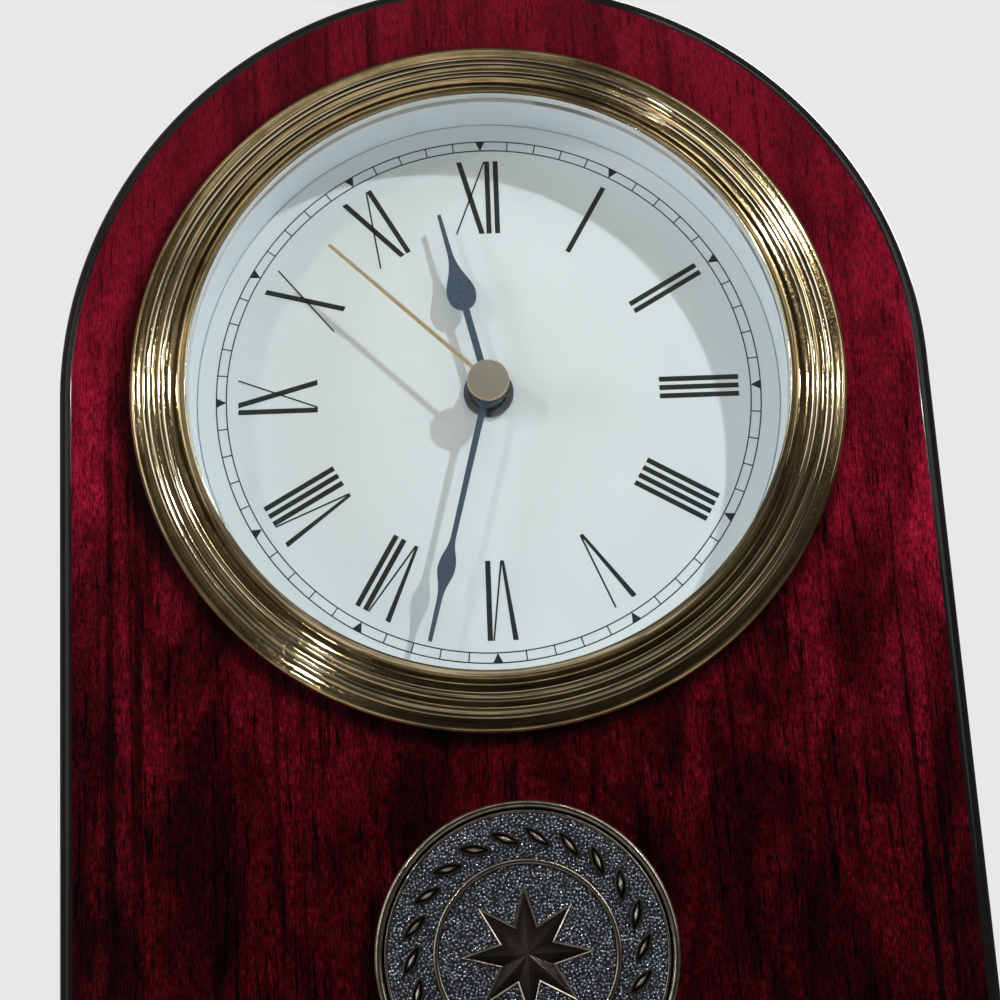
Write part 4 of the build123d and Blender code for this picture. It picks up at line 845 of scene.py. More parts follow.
class CLOCK_OT_bezel(bpy.types.Operator):
    """Ridged gold bezel: a rolled edge, two pairs of beads between hollow bands, a cove and a lip."""

    bl_idname = "clock.bezel"
    bl_label = "Bezel"

    def execute(self, context):
        segments = 288
        steps = 10
        bevel, roll, shoulder = 0.5, 0.9, 2.3
        corner = roll * math.sqrt(0.5)
        start = (BEZEL_RADIUS, shoulder - roll)
        outer = (BEZEL_RADIUS - roll, shoulder)
        profile = [(SKIRT_OUTSIDE, 0.0), (BEZEL_RADIUS - bevel, 0.0), (BEZEL_RADIUS, bevel), start]
        profile += arc(start, (outer[0] + corner, start[1] + corner), outer, steps)
        # Each point of the profile has a value for its painted shade and highlight, from the foot of a bead to
        # a crest
        crests = [0.5] * len(profile)
        # Width of each ridge, and how far its middle stands over the line between its ends
        band, bead, cove = -0.02, 0.13, -0.14
        ridges = (
            (1.2, band),
            (0.85, bead),
            (0.85, bead),
            (0.8, band),
            (0.75, bead),
            (0.75, bead),
            (1.0, band),
            (1.2, cove),
        )
        climb = 0.13
        for width, rise in ridges:
            inner = (outer[0] - width, outer[1] + climb)
            profile += arc(outer, (outer[0] - width / 2, outer[1] + climb / 2 + rise), inner, steps)
            rounds = [math.sin(math.pi * step / steps) for step in range(1, steps + 1)]
            if rise > 0:
                crests += [0.35 + 0.65 * height for height in rounds]
            else:
                crests += [0.4 * min(1.0, 3.0 * height) for height in rounds]
            outer = inner
        # The lip rises as a ramp to a rounded inner edge
        opening = 47.6
        crest = (opening + 0.25, outer[1] + 0.7)
        profile += arc(outer, ((outer[0] + crest[0]) / 2, outer[1] + 0.41), crest, steps)
        profile += arc(crest, (opening + 0.06, outer[1] + 0.65), (opening, outer[1] + 0.5), 6)
        profile += [(opening, LENS_FRONT), (SKIRT_INSIDE, LENS_FRONT)]
        profile += [(SKIRT_INSIDE, BEZEL_BACK), (SKIRT_OUTSIDE, BEZEL_BACK)]
        crests += [1.0] * (len(profile) - len(crests))
        shape = Shape()
        shape.turned(profile, segments)
        # The wall inside the opening is white satin
        shape.refinish(1, farthest=opening + 0.01)
        satin = painted_finish(
            "wall satin", (0.80, 0.84, 0.85), 0.45, speck=0.1, fineness=2600, metallic=0.6, depth=0.000004
        )
        mesh = shape.mesh("bezel_ridged", [gold_finish("bezel gold"), satin], crisp=25.0)
        # Points keep their order from the profile, one ring after another
        tones = mesh.attributes.new("crest", "FLOAT", "POINT")
        tones.data.foreach_set("value", [value for value in crests for _ in range(segments)])
        bezel = linked("bezel_ridged", mesh)
        settle(bezel, "case", "polished_gold", "bezel")
        return {"FINISHED"}


class CLOCK_OT_insert(bpy.types.Operator):
    """Lens, gasket, white cup and dial plate."""

    bl_idname = "clock.insert"
    bl_label = "Lens, cup and dial"

    def execute(self, context):
        tints = colours()
        bevel = 0.3
        edge = radius_of("lens")
        shape = Shape()
        shape.turned(
            [
                (0.0, LENS_BACK),
                (edge - bevel, LENS_BACK),
                (edge, LENS_BACK + bevel),
                (edge, LENS_FRONT - bevel),
                (edge - bevel, LENS_FRONT),
                (0.0, LENS_FRONT),
            ]
        )
        lens = shape.piece("lens_clear", [lens_finish("lens glass")])
        settle(lens, "case", "clear_glass", "lens")

        inside, chamfer = 47.8, 0.2
        edge = radius_of("insert_cup")
        shape = Shape()
        shape.turned(
            [
                (SHAFT_HOLE, DIAL_BACK),
                (inside, DIAL_BACK),
                (inside, CUP_RIM - chamfer),
                (inside + chamfer, CUP_RIM),
                (edge, CUP_RIM),
                (edge, CUP_BACK + bevel),
                (edge - bevel, CUP_BACK),
                (SHAFT_HOLE, CUP_BACK),
            ]
        )
        finish = painted_finish("cup plastic", tints.cup, 0.35, speck=0.03)
        cup = shape.piece("cup_white", [finish])
        settle(cup, "case", "white_plastic", "insert_cup")

        eased = 0.1
        edge = radius_of("dial")
        shape = Shape()
        shape.turned(
            [
                (SHAFT_HOLE, DIAL_OUT),
                (edge - eased, DIAL_OUT),
                (edge, DIAL_OUT - eased),
                (edge, DIAL_BACK),
                (SHAFT_HOLE, DIAL_BACK),
            ]
        )
        finish = painted_finish("dial paint", tints.dial, 0.55, speck=0.02, depth=0.000001)
        dial = shape.piece("dial_plate", [finish])
        settle(dial, "case", "dial_white", "dial")

        gasket = painted_finish("gasket", (0.82, 0.85, 0.86), 0.6, speck=0.05, fineness=1800)
        wear(gasket, "lens_gasket")
        rubber = painted_finish("grip rubber", (0.02, 0.02, 0.02), 0.7, speck=0.2, fineness=1800)
        wear(rubber, "grip_ring")
        return {"FINISHED"}


def ink_finish(name):
    return painted_finish(name, colours().ink, 0.5, speck=0.3, fineness=3000)


class CLOCK_OT_minute_track(bpy.types.Operator):
    """Minute track on the dial: two circles, a line at every minute and a triangle at every fifth."""

    bl_idname = "clock.minute_track"
    bl_label = "Minute track"

    def execute(self, context):
        size = sizes()
        tree, identifiers, given = node_tree(
            "Minute track",
            Inside="Float",
            Outside="Float",
            Line="Float",
            Mark="Float",
            Ink="Float",
            Material="Material",
        )
        parts = []
        for edge in ("Inside", "Outside"):
            ring = add(tree, "GeometryNodeCurvePrimitiveCircle", {"Resolution": 240, "Radius": given[edge]})
            ring = add(tree, "GeometryNodeSetCurveNormal", {"Curve": ring.outputs[0]}, mode="Z_UP")
            section = {"Width": given["Line"], "Height": given["Ink"]}
            line = add(tree, "GeometryNodeCurvePrimitiveQuadrilateral", section)
            sweep = {"Curve": ring.outputs[0], "Profile Curve": line.outputs[0]}
            parts.append(add(tree, "GeometryNodeCurveToMesh", sweep).outputs[0])

        minutes = 60
        breadth = calc(tree, "SUBTRACT", given["Outside"], given["Inside"])
        middle = times(tree, calc(tree, "ADD", given["Outside"], given["Inside"]), 0.5)
        points = ring_points(tree, minutes, middle)
        number = add(tree, "GeometryNodeInputIndex").outputs[0]
        past_fifth = calc(tree, "MODULO", number, 5.0)
        across = add(tree, "ShaderNodeCombineXYZ", {"X": breadth, "Y": given["Line"], "Z": given["Ink"]})
        tick = add(tree, "GeometryNodeMeshCube", {"Size": across.outputs[0]})

        # A prism of radius 1 is 1.5 tall and the root of 3 wide; its middle lies a third of its height up
        prism = add(tree, "GeometryNodeMeshCylinder", {"Vertices": 3, "Radius": 1.0, "Depth": given["Ink"]})
        tall = times(tree, breadth, 1.0 / 1.5)
        base = times(tree, given["Mark"], 1.0 / math.sqrt(3.0))
        scale = add(tree, "ShaderNodeCombineXYZ", {"X": tall, "Y": base, "Z": 1.0})
        shift = add(tree, "ShaderNodeCombineXYZ", {"X": times(tree, breadth, 1.0 / 6.0)})
        # Its first corner lies on its X axis, and is turned to point at the dial's middle
        mark = add(
            tree,
            "GeometryNodeTransform",
            {
                "Geometry": prism.outputs[0],
                "Translation": shift.outputs[0],
                "Rotation": (0.0, 0.0, math.pi),
                "Scale": scale.outputs[0],
            },
        )
        turn = ring_turn(tree, minutes)
        for test, instance in (("GREATER_THAN", tick), ("LESS_THAN", mark)):
            placed = add(
                tree,
                "GeometryNodeInstanceOnPoints",
                {
                    "Points": points,
                    "Selection": calc(tree, test, past_fifth, 0.5),
                    "Instance": instance.outputs[0],
                    "Rotation": turn,
                },
            )
            parts.append(placed.outputs[0])
        joined = add(tree, "GeometryNodeJoinGeometry")
        for part in parts:
            tree.links.new(part, joined.inputs[0])
        end_tree(tree, given, joined.outputs[0], ON_AXIS, DIAL_OUT + size.ink / MM / 2, size.dial_turn)
        track = grown(
            "minute_track",
            bpy.data.meshes.new("minute_track"),
            tree,
            identifiers,
            Inside=size.track_inner,
            Outside=size.track_outer,
            Line=size.track_line,
            Mark=size.track_mark,
            Ink=size.ink,
            Material=ink_finish("track ink"),
        )
        settle(track, "case", "dial_white")
        return {"FINISHED"}


class CLOCK_OT_numerals(bpy.types.Operator):
    """Roman numerals on the dial, with their feet to its middle."""

    bl_idname = "clock.numerals"
    bl_label = "Numerals"

    def execute(self, context):
        size = sizes()
        foot, top = size.numeral_foot / MM, size.numeral_top / MM
        thick, thin = size.thick_stroke / MM, size.thin_stroke / MM
        # Distances along the ring: from bar to bar, and from the middle of a five or a ten to its first bar
        step, after_five, beside_ten = 1.43, 2.25, 2.95
        five_at = {5: 0.0, 6: -1.13, 7: -1.8, 8: -2.5}
        ten_at = {9: 1.2, 10: 0.0, 11: -1.2, 12: -1.9}

        def slant(low, low_width, high, high_width, start=foot):
            return [
                (low - low_width / 2, start),
                (low + low_width / 2, start),
                (high + high_width / 2, top),
                (high - high_width / 2, top),
            ]

        def bar(at):
            return slant(at, thick, at, thick)

        def five(at):
            return [
                slant(at - 0.12, thick * 0.55, at - 1.84, thick * 1.02),
                slant(at + 0.10, thin * 1.1, at + 1.67, thin),
            ]

        def ten(at, past):
            return [
                slant(at + 1.77, thick * 1.06, at - 1.77, thick * 1.06),
                slant(at - 2.5, thin, at + 2.5, thin, foot - past),
            ]

        def numeral(number):
            if number <= 4:
                return [bar(step * (count - (number - 1) / 2)) for count in range(number)]
            if number <= 8:
                at = five_at[number]
                return five(at) + [bar(at + after_five + step * count) for count in range(number - 5)]
            at = ten_at[number]
            strokes = ten(at, 0.4 if number == 10 else 0.0)
            if number == 9:
                strokes.append(bar(at - beside_ten))
            return strokes + [bar(at + beside_ten + step * count) for count in range(number - 10)]

        shape = Shape()
        paint_gap = 0.001
        for number in range(1, 13):
            turn = math.radians(30.0 * number) + size.dial_turn
            for stroke in numeral(number):
                corners = swung(stroke, turn)
                back = shape.flat_loop(corners, DIAL_OUT + paint_gap)
                front = shape.flat_loop(corners, DIAL_OUT + size.ink / MM)
                shape.face(back)
                shape.wall(back, front)
                shape.face(front)
        numerals = shape.piece("numerals", [ink_finish("numeral ink")])
        settle(numerals, "case", "dial_white")
        return {"FINISHED"}


def blade_outline(hub, start, widest, end, tip, fullness, widths):
    """A hand's outline, anticlockwise, pointing up: a stem, a blade and a long tip.

    The widths are those at the hub, the blade's start, its widest place, its end and the tip.
    """
    stem, foot, blade, neck, point = (width / 2 for width in widths)
    middle = (start + widest) / 2
    swelling = [
        (foot, start),
        (foot + fullness * (blade - foot), middle + fullness * (start - middle)),
        (blade, middle),
        (blade, widest),
    ]
    narrowing = [
        (blade, widest),
        (blade, widest + (end - widest) / 4),
        (neck, widest + (end - widest) / 2),
        (neck, end),
    ]
    right = [(stem, hub), (foot, start)] + curve_points(swelling, 14) + curve_points(narrowing, 14)
    right.append((point, tip))
    return right + [(-across, along) for across, along in reversed(right)]


def plate(shape, outline, clockwise, out, thickness, eased):
    """A flat piece of sheet metal with its front edges eased."""
    turn = math.radians(clockwise)
    whole = swung(outline, turn)
    loops = [
        shape.flat_loop(whole, out),
        shape.flat_loop(whole, out + thickness - eased),
        shape.flat_loop(swung(inset(outline, eased), turn), out + thickness),
    ]
    shape.face(loops[0])
    shape.walls(loops)
    shape.face(loops[-1])


def sleeve(shape, inside, level):
    """A hand's sleeve on its shaft, from behind the blade to a little in front of it."""
    outside = inside + 0.6
    back, front, eased = level - 1.1, level + 0.4, 0.06
    profile = [(inside, back), (outside, back), (outside, front - eased), (outside - eased, front)]
    profile.append((inside, front))
    shape.turned(profile, 72)


class CLOCK_OT_hands(bpy.types.Operator):
    """Nut, hour hand, minute hand and gold second hand with its cap."""

    bl_idname = "clock.hands"
    bl_label = "Hands"

    def execute(self, context):
        sheet, eased = 0.38, 0.06
        # Degrees from twelve o'clock at rest, and how far out each hand lies
        hour_at, minute_at, second_at = 347.74, 195.34, 314.94
        hour_level, minute_level, second_level = DIAL_OUT + 3.1, DIAL_OUT + 5.2, DIAL_OUT + 7.0
        lacquer = painted_finish(
            "hand lacquer", colours().hands, 0.3, speck=0.08, fineness=2600, depth=0.000001, coat=0.3
        )
        outline = blade_outline(
            hub=2.6,
            start=13.9,
            widest=16.9,
            end=24.5,
            tip=31.1,
            fullness=0.7,
            widths=(1.15, 1.15, 4.8, 0.84, 0.6),
        )
        shape = Shape()
        plate(shape, outline, hour_at, hour_level, sheet, eased)
        sleeve(shape, inside=2.32, level=hour_level)
        hour = shape.piece("hour_hand_blade", [lacquer])
        settle(hour, "hour", "dark_hands", "hour_hand")

        outline = blade_outline(
            hub=1.75,
            start=26.1,
            widest=31.3,
            end=36.3,
            tip=43.0,
            fullness=0.1,
            widths=(1.1, 0.84, 2.8, 0.84, 0.66),
        )
        shape = Shape()
        plate(shape, outline, minute_at, minute_level, sheet, eased)
        sleeve(shape, inside=1.47, level=minute_level)
        minute = shape.piece("minute_hand_blade", [lacquer])
        settle(minute, "minute", "dark_hands", "minute_hand")

        root, tip = (0.32, 0.9), (0.26, 34.9)
        needle = [root, tip, (-tip[0], tip[1]), (-root[0], root[1])]
        shape = Shape()
        plate(shape, needle, second_at, second_level, thickness=0.4, eased=0.08)
        tube_hole, tube, tube_back, tube_end = 0.42, 1.02, -0.7, 0.4
        cap, cap_top, bevel, chamfer = 3.38, 0.8, 0.08, 0.15
        cap_profile = (
            (tube_hole, tube_back),
            (tube, tube_back),
            (tube, 0.0),
            (cap - bevel, 0.0),
            (cap, bevel),
            (cap, cap_top - chamfer),
            (cap - chamfer, cap_top),
            (0.0, cap_top),
            (0.0, tube_end),
            (tube_hole, tube_end),
        )
        shape.turned([(radius, second_level + out) for radius, out in cap_profile], 96)
        # The cap's edge and the needle are gold, and the cap's face is satin
        shape.refinish(1, nearest=cap - 0.07)
        satin = painted_finish(
            "cap satin", (0.42, 0.385, 0.32), 0.34, speck=0.2, fineness=2600, metallic=0.5, depth=0.000004
        )
        gold = painted_finish(
            "needle gold", (0.66, 0.50, 0.28), 0.3, speck=0.08, fineness=2600, metallic=0.5, depth=0.000002
        )
        second = shape.piece("second_hand_needle", [satin, gold])
        settle(second, "second", "polished_gold", "second_hand")
        nut = painted_finish("nut black", (0.09, 0.10, 0.12), 0.35, speck=0.3, fineness=1200, metallic=0.2)
        wear(nut, "shaft_nut")
        return {"FINISHED"}


def raised_plate(shape, outline, rim, sink, peak):
    """A shape of the relief: walls, a raised rim and a sunk middle that rises to a low peak."""
    eased, slope = 0.07, 0.08
    loops = [
        shape.flat_loop(outline, RELIEF_FOOT),
        shape.flat_loop(outline, RELIEF_TOP - eased),
        shape.flat_loop(inset(outline, eased), RELIEF_TOP),
        shape.flat_loop(inset(outline, rim), RELIEF_TOP),
        shape.flat_loop(inset(outline, rim + slope), RELIEF_TOP - sink),
    ]
    shape.face(loops[0])
    shape.walls(loops)
    middle = tuple(sum(corner[axis] for corner in outline) / len(outline) for axis in (0, 1))
    shape.wall(loops[-1], shape.flat_loop([middle], RELIEF_TOP + peak))


def faceted_plate(shape, outline, edge, peak, about):
    """A shape of the relief with a bright eased edge, whose facets rise to a point over its middle."""
    crest, border = 0.16, 0.34
    loops = [
        shape.flat_loop(outline, RELIEF_FOOT, about),
        shape.flat_loop(outline, edge, about),
        shape.flat_loop(inset(outline, crest), edge + crest, about),
        shape.flat_loop(inset(outline, border), edge + crest / 2, about),
    ]
    shape.face(loops[0])
    shape.walls(loops, 1)
    shape.wall(loops[-1], shape.flat_loop([ON_AXIS], peak, about))


def medallion_base(rims):
    """The disc, with a round rim, a groove, a fine inner rim and the dull ground of the field."""
    edge = MEDALLION_RADIUS
    back, bevel = -1.1, 0.15
    outer_rim, rim_top, groove, inner_rim = 1.15, 1.3, 0.25, 0.55
    rim_end = edge - outer_rim
    fine_start = rim_end - groove
    fine_end = fine_start - inner_rim
    profile = [(0.0, back), (edge - bevel, back), (edge, back + bevel), (edge, FIELD)]
    profile += arc((edge, FIELD), (edge - outer_rim / 2, rim_top), (rim_end, FIELD), 14)
    profile.append((fine_start, FIELD))
    fine_top = (fine_start - inner_rim / 2, FIELD + inner_rim / 2)
    profile += arc((fine_start, FIELD), fine_top, (fine_end, FIELD), 10)
    profile.append((0.0, FIELD))
    shape = Shape()
    shape.turned(profile, about=MEDALLION_AT)
    shape.refinish(1, farthest=fine_end + 0.05, about=MEDALLION_AT)
    dark = shaded(colours().pewter, 0.13)
    ground = painted_finish(
        "field pewter", dark, 0.3, speck=0.3, fineness=3600, metallic=0.9, depth=0.0003
    )
    base = shape.piece("medallion_base", [rims, ground])
    settle(base, "case", "old_pewter", "medallion")


def medallion_star(rims):
    """A star of eight points, in facets."""
    tints = colours()
    count, point, notch = 8, 10.5, 4.6
    step = 360.0 / count
    outline = []
    for number in range(count):
        outline.append(polar(point, -step * number))
        outline.append(polar(notch, -step * number - step / 2))
    shape = Shape()
    faceted_plate(shape, outline, edge=FIELD + 0.15, peak=FIELD + 0.85, about=MEDALLION_AT)
    dim = shaded(tints.bronze, 0.55)
    facets = worn_finish("star metal", tints.relief, dim, start=0.5, end=1.6, roughness=0.12)
    star = shape.piece("medallion_star", [facets, rims], crisp=4.0)
    settle(star, "case", "old_pewter")


def medallion_ring(relief):
    """A plain ring round the star."""
    inside, outside = 13.15, 14.05
    shoulder = RELIEF_TOP - 0.2
    profile = [(inside, RELIEF_FOOT), (inside, shoulder)]
    profile += arc((inside, shoulder), ((inside + outside) / 2, RELIEF_TOP), (outside, shoulder), 10)
    profile.append((outside, RELIEF_FOOT))
    shape = Shape()
    shape.turned(profile, 144, MEDALLION_AT)
    ring = shape.piece("medallion_ring", [relief])
    settle(ring, "case", "old_pewter")


def medallion_wreath(relief):
    """Leaves round the ring, each with a raised rim and a sunk middle."""
    size = sizes()
    half_length, half_width, corners = 2.5, 0.95, 20
    radius, tilt = 17.2, 60.0
    outline = []
    for step in range(corners):
        turn = 2 * math.pi * step / corners
        along = math.cos(turn)
        outline.append((half_length * along, half_width * math.sin(turn) * (1.0 - 0.25 * abs(along))))
    leaf = Shape()
    raised_plate(leaf, outline, size.relief_rim / MM, sink=0.28, peak=0.06)
    # The leaf lies in XY for the tree that sets it round the field
    leaf.points = [(x - AXIS_X, z - CENTRE_Z, FACE_Y - y) for x, y, z in leaf.points]
    tree, identifiers, given = node_tree(
        "Wreath", Leaves="Int", Radius="Float", Tilt="Float", Material="Material"
    )
    placed = add(
        tree,
        "GeometryNodeInstanceOnPoints",
        {
            "Points": ring_points(tree, given["Leaves"], given["Radius"]),
            "Instance": given["Geometry"],
            "Rotation": ring_turn(tree, given["Leaves"], given["Tilt"]),
        },
    )
    end_tree(tree, given, placed.outputs[0], MEDALLION_AT, 0.0)
    wreath = grown(
        "medallion_wreath",
        leaf.mesh("medallion_wreath", [relief]),
        tree,
        identifiers,
        Leaves=size.leaves,
        Radius=radius * MM,
        Tilt=math.radians(tilt),
        Material=relief,
    )
    settle(wreath, "case", "old_pewter")


def medallion_grains():
    """Fine grains strewn over the field, each a little flat and turned at random."""
    size = sizes()
    border = 2.1
    tree, identifiers, given = node_tree(
        "Grained field", Radius="Float", Gap="Float", Grain="Float", Seed="Int", Material="Material"
    )
    disc = add(
        tree, "GeometryNodeMeshCircle", {"Vertices": 96, "Radius": given["Radius"]}, fill_type="NGON"
    )
    strewn = add(
        tree,
        "GeometryNodeDistributePointsOnFaces",
        {"Mesh": disc.outputs[0], "Distance Min": given["Gap"], "Density Max": 3.0e7, "Seed": given["Seed"]},
        distribute_method="POISSON",
    )
    bead = add(tree, "GeometryNodeMeshIcoSphere", {"Radius": given["Grain"], "Subdivisions": 1})

    def drawn(least, most):
        limits = {"Min": least, "Max": most, "Seed": given["Seed"]}
        return add(tree, "FunctionNodeRandomValue", limits, data_type="FLOAT_VECTOR").outputs[0]

    spread = drawn((0.8, 0.8, 0.45), (1.2, 1.2, 0.75))
    tilt = drawn((-0.5, -0.5, -3.1), (0.5, 0.5, 3.1))
    placed = add(
        tree,
        "GeometryNodeInstanceOnPoints",
        {
            "Points": strewn.outputs["Points"],
            "Instance": bead.outputs[0],
            "Rotation": tilt,
            "Scale": spread,
        },
    )
    end_tree(tree, given, placed.outputs[0], MEDALLION_AT, FIELD)
    pewter = painted_finish(
        "grain pewter", colours().pewter, 0.26, speck=0.25, fineness=900, metallic=1.0, depth=0.000002
    )
    grains = grown(
        "medallion_grains",
        bpy.data.meshes.new("medallion_grains"),
        tree,
        identifiers,
        Radius=(MEDALLION_RADIUS - border) * MM,
        Gap=size.grain_gap,
        Grain=size.grain_radius,
        Seed=size.seed,
        Material=pewter,
    )
    settle(grains, "case", "old_pewter")


class CLOCK_OT_medallion(bpy.types.Operator):
    """Medallion: two rims, a field of fine grains, and a star in a ring inside a wreath of leaves."""

    bl_idname = "clock.medallion"
    bl_label = "Medallion"

    def execute(self, context):
        tints = colours()
        tones = (tints.relief, tints.bronze)
        rims = worn_finish("medallion rims", *tones, start=0.62, end=0.85, roughness=0.16)
        relief = worn_finish("medallion relief", *tones, start=0.96, end=1.06, roughness=0.18)
        medallion_base(rims)
        medallion_star(rims)
        medallion_ring(relief)
        medallion_wreath(relief)
        medallion_grains()
        tape = painted_finish("foam tape", (0.7, 0.69, 0.65), 0.8, speck=0.08, fineness=900, depth=0.00008)
        wear(tape, "medallion_tape")
        return {"FINISHED"}


class CLOCK_OT_movement(bpy.types.Operator):
    """Quartz movement: finishes of the case, the motor, the train, the cell and the setting knob."""

    bl_idname = "clock.movement"
    bl_label = "Movement"

    def execute(self, context):
        # Finish, colour, roughness, speck, fineness, metal and depth of skin, and the nodes that wear it
        finishes = (
            (
                ("case plastic", (0.018, 0.018, 0.019), 0.5, 0.15, 1400, 0.0, 0.00005),
                ("movement_front_case", "movement_cover"),
            ),
            (("knob plastic", (0.03, 0.03, 0.032), 0.42, 0.12, 1600, 0.0, 0.00004), ("setting_knob",)),
            (
                ("wheel plastic", (0.74, 0.70, 0.60), 0.4, 0.05, 1600),
                (
                    "intermediate_wheel",
                    "seconds_wheel",
                    "third_wheel",
                    "centre_wheel",
                    "cannon",
                    "minute_wheel",
                    "hour_wheel",
                    "train_bridge",
                    "coil_bobbin",
                ),
            ),
            (
                ("spring steel", (0.56, 0.57, 0.58), 0.28, 0.08, 1200, 1.0),
                ("stator", "coil_core", "quartz_crystal", "positive_contact", "negative_contact"),
            ),
            (("turned brass", (0.62, 0.44, 0.18), 0.25, 0.1, 1500, 1.0), ("shaft_bushing",)),
            (("ferrite", (0.05, 0.05, 0.055), 0.45, 0.2, 1500, 0.3), ("rotor",)),
            (("circuit lacquer", (0.03, 0.13, 0.05), 0.35, 0.25, 600), ("circuit_board",)),
            (("black resin", (0.012, 0.012, 0.013), 0.2, 0.2, 800), ("chip",)),
            (("cell sleeve", (0.34, 0.35, 0.37), 0.28, 0.08, 700, 0.8), ("battery",)),
        )
        for finish, nodes in finishes:
            wear(painted_finish(*finish), *nodes)
        wear(wound_finish("copper wire"), "coil_winding")
        return {"FINISHED"}


# Stage

FLOOR_REACH = 3.0

# Glow of the room in the clock's gloss: an axis, where the glow starts and is full along it, and its strengths
ROOM_GLOW = (
    ("Z", 0.1, 0.8, 0.022, 0.125),
    ("Z", -0.05, -0.4, 0.0, 0.02),
    ("Z", -0.45, -0.85, 0.0, 0.32),
    ("X", -0.1, -0.6, 0.0, 0.13),
    ("X", 0.1, 0.6, 0.0, 0.05),
)

# A lamp's direction and distance from the dial's middle, its width, height and power, its tint and its role
Lamp = namedtuple("Lamp", "name direction distance width height power tint role")

WHITE = (1.0, 1.0, 0.98)
PALE = (1.0, 1.0, 0.97)
WARM = (1.0, 0.98, 0.95)
DAYLIGHT = (1.0, 0.99, 0.95)

# A light lights the clock but isn't mirrored, and a gloss is mirrored alone. A glint is mirrored in the gold
# alone, because the lacquer would show it as a white patch
LAMPS = (
    Lamp("key", (0.563, -0.655, 0.505), 0.9, 0.028, 0.028, 5.0, (0.97, 1.0, 1.0), "light"),
    Lamp("left lamp", (-0.60, -0.74, 0.31), 1.2, 0.06, 0.06, 2.1, PALE, "light"),
    Lamp("top lamp", (0.285, -0.64, 0.715), 1.2, 0.06, 0.06, 0.7, WHITE, "light"),
    Lamp("left fill", (-0.90, -0.40, 0.15), 1.5, 0.35, 0.7, 7.6, (0.93, 0.97, 1.0), "light"),
    Lamp("right fill", (0.86, -0.48, 0.20), 1.5, 0.3, 0.6, 2.0, WARM, "light"),
    Lamp("high fill", (0.0, -0.58, 0.82), 1.4, 0.8, 0.35, 2.0, (0.95, 0.98, 1.0), "light"),
    Lamp("back fill", (0.30, 0.80, 0.52), 1.5, 0.9, 0.6, 9.0, WARM, "both"),
    Lamp("low fill", (0.0, -0.99, -0.08), 1.0, 0.8, 0.1, 0.7, (0.97, 0.99, 1.0), "light"),
    Lamp("right glint", (0.403, -0.787, 0.466), 1.2, 0.035, 0.035, 5.0, WHITE, "glint"),
    Lamp("low right glint", (0.42, -0.87, 0.26), 1.2, 0.02, 0.02, 0.45, WHITE, "gloss"),
    Lamp("left glint", (-0.416, -0.857, 0.301), 1.2, 0.03, 0.03, 0.52, WHITE, "gloss"),
    Lamp("low left glint", (-0.247, -0.966, -0.073), 1.2, 0.022, 0.022, 0.45, WHITE, "glint"),
    Lamp("top glint", (0.285, -0.64, 0.715), 1.2, 0.05, 0.05, 1.2, WHITE, "gloss"),
    Lamp("right window", (0.74, -0.58, 0.34), 1.5, 0.7, 1.1, 2.0, DAYLIGHT, "gloss"),
    Lamp("right strip", (0.60, -0.70, 0.40), 1.5, 0.06, 0.8, 0.6, PALE, "gloss"),
    Lamp("high window", (0.42, -0.66, 0.62), 1.5, 0.35, 0.5, 0.8, PALE, "gloss"),
    Lamp("left window", (-0.84, -0.50, 0.20), 1.5, 0.5, 1.0, 1.4, DAYLIGHT, "gloss"),
    Lamp("left strip", (-0.66, -0.70, 0.28), 1.5, 0.05, 0.9, 0.6, PALE, "gloss"),
    Lamp("ceiling", (-0.25, -0.70, 0.67), 1.5, 1.2, 0.6, 0.8, WARM, "gloss"),
)

# The camera's place in millimetres, its turns in degrees and its lens on a 36 mm frame
CAMERA_AT = (-3.25, -311.7, 54.58)
CAMERA_YAW, CAMERA_PITCH, CAMERA_ROLL = 0.584, 14.147, -3.290
CAMERA_LENS = 70.1


def lay_floor():
    corners = [(-1, -1), (1, -1), (1, 1), (-1, 1)]
    mesh = bpy.data.meshes.new("floor")
    mesh.from_pydata([(x * FLOOR_REACH, y * FLOOR_REACH, 0.0) for x, y in corners], [], [(0, 1, 2, 3)])
    mesh.materials.append(painted_finish("floor paint", colours().floor, 0.7, speck=0.02, fineness=300))
    floor = linked("floor", mesh)
    floor.visible_glossy = False


def light_room(scene):
    """A faint glow that the clock mirrors, in front of a plain backdrop."""
    world = bpy.data.worlds.new("studio")
    scene.world = world
    world.use_nodes = True
    tree = world.node_tree
    way = add(tree, "ShaderNodeTexCoord")
    split = add(tree, "ShaderNodeSeparateXYZ", {0: way.outputs["Generated"]}).outputs
    glow = None
    for axis, *spread in ROOM_GLOW:
        share = stretch(tree, split[axis], *spread)
        glow = calc(tree, "ADD", glow, share) if glow else share
    room = tree.nodes["Background"]
    room.inputs["Color"].default_value = (1.0, 0.92, 0.80, 1.0)
    tree.links.new(glow, room.inputs["Strength"])
    backdrop = add(tree, "ShaderNodeBackground", {"Color": solid(colours().backdrop), "Strength": 1.0})
    path = add(tree, "ShaderNodeLightPath")
    mix = add(
        tree,
        "ShaderNodeMixShader",
        {0: path.outputs["Is Camera Ray"], 1: room.outputs[0], 2: backdrop.outputs[0]},
    )
    tree.links.new(mix.outputs[0], tree.nodes["World Output"].inputs["Surface"])


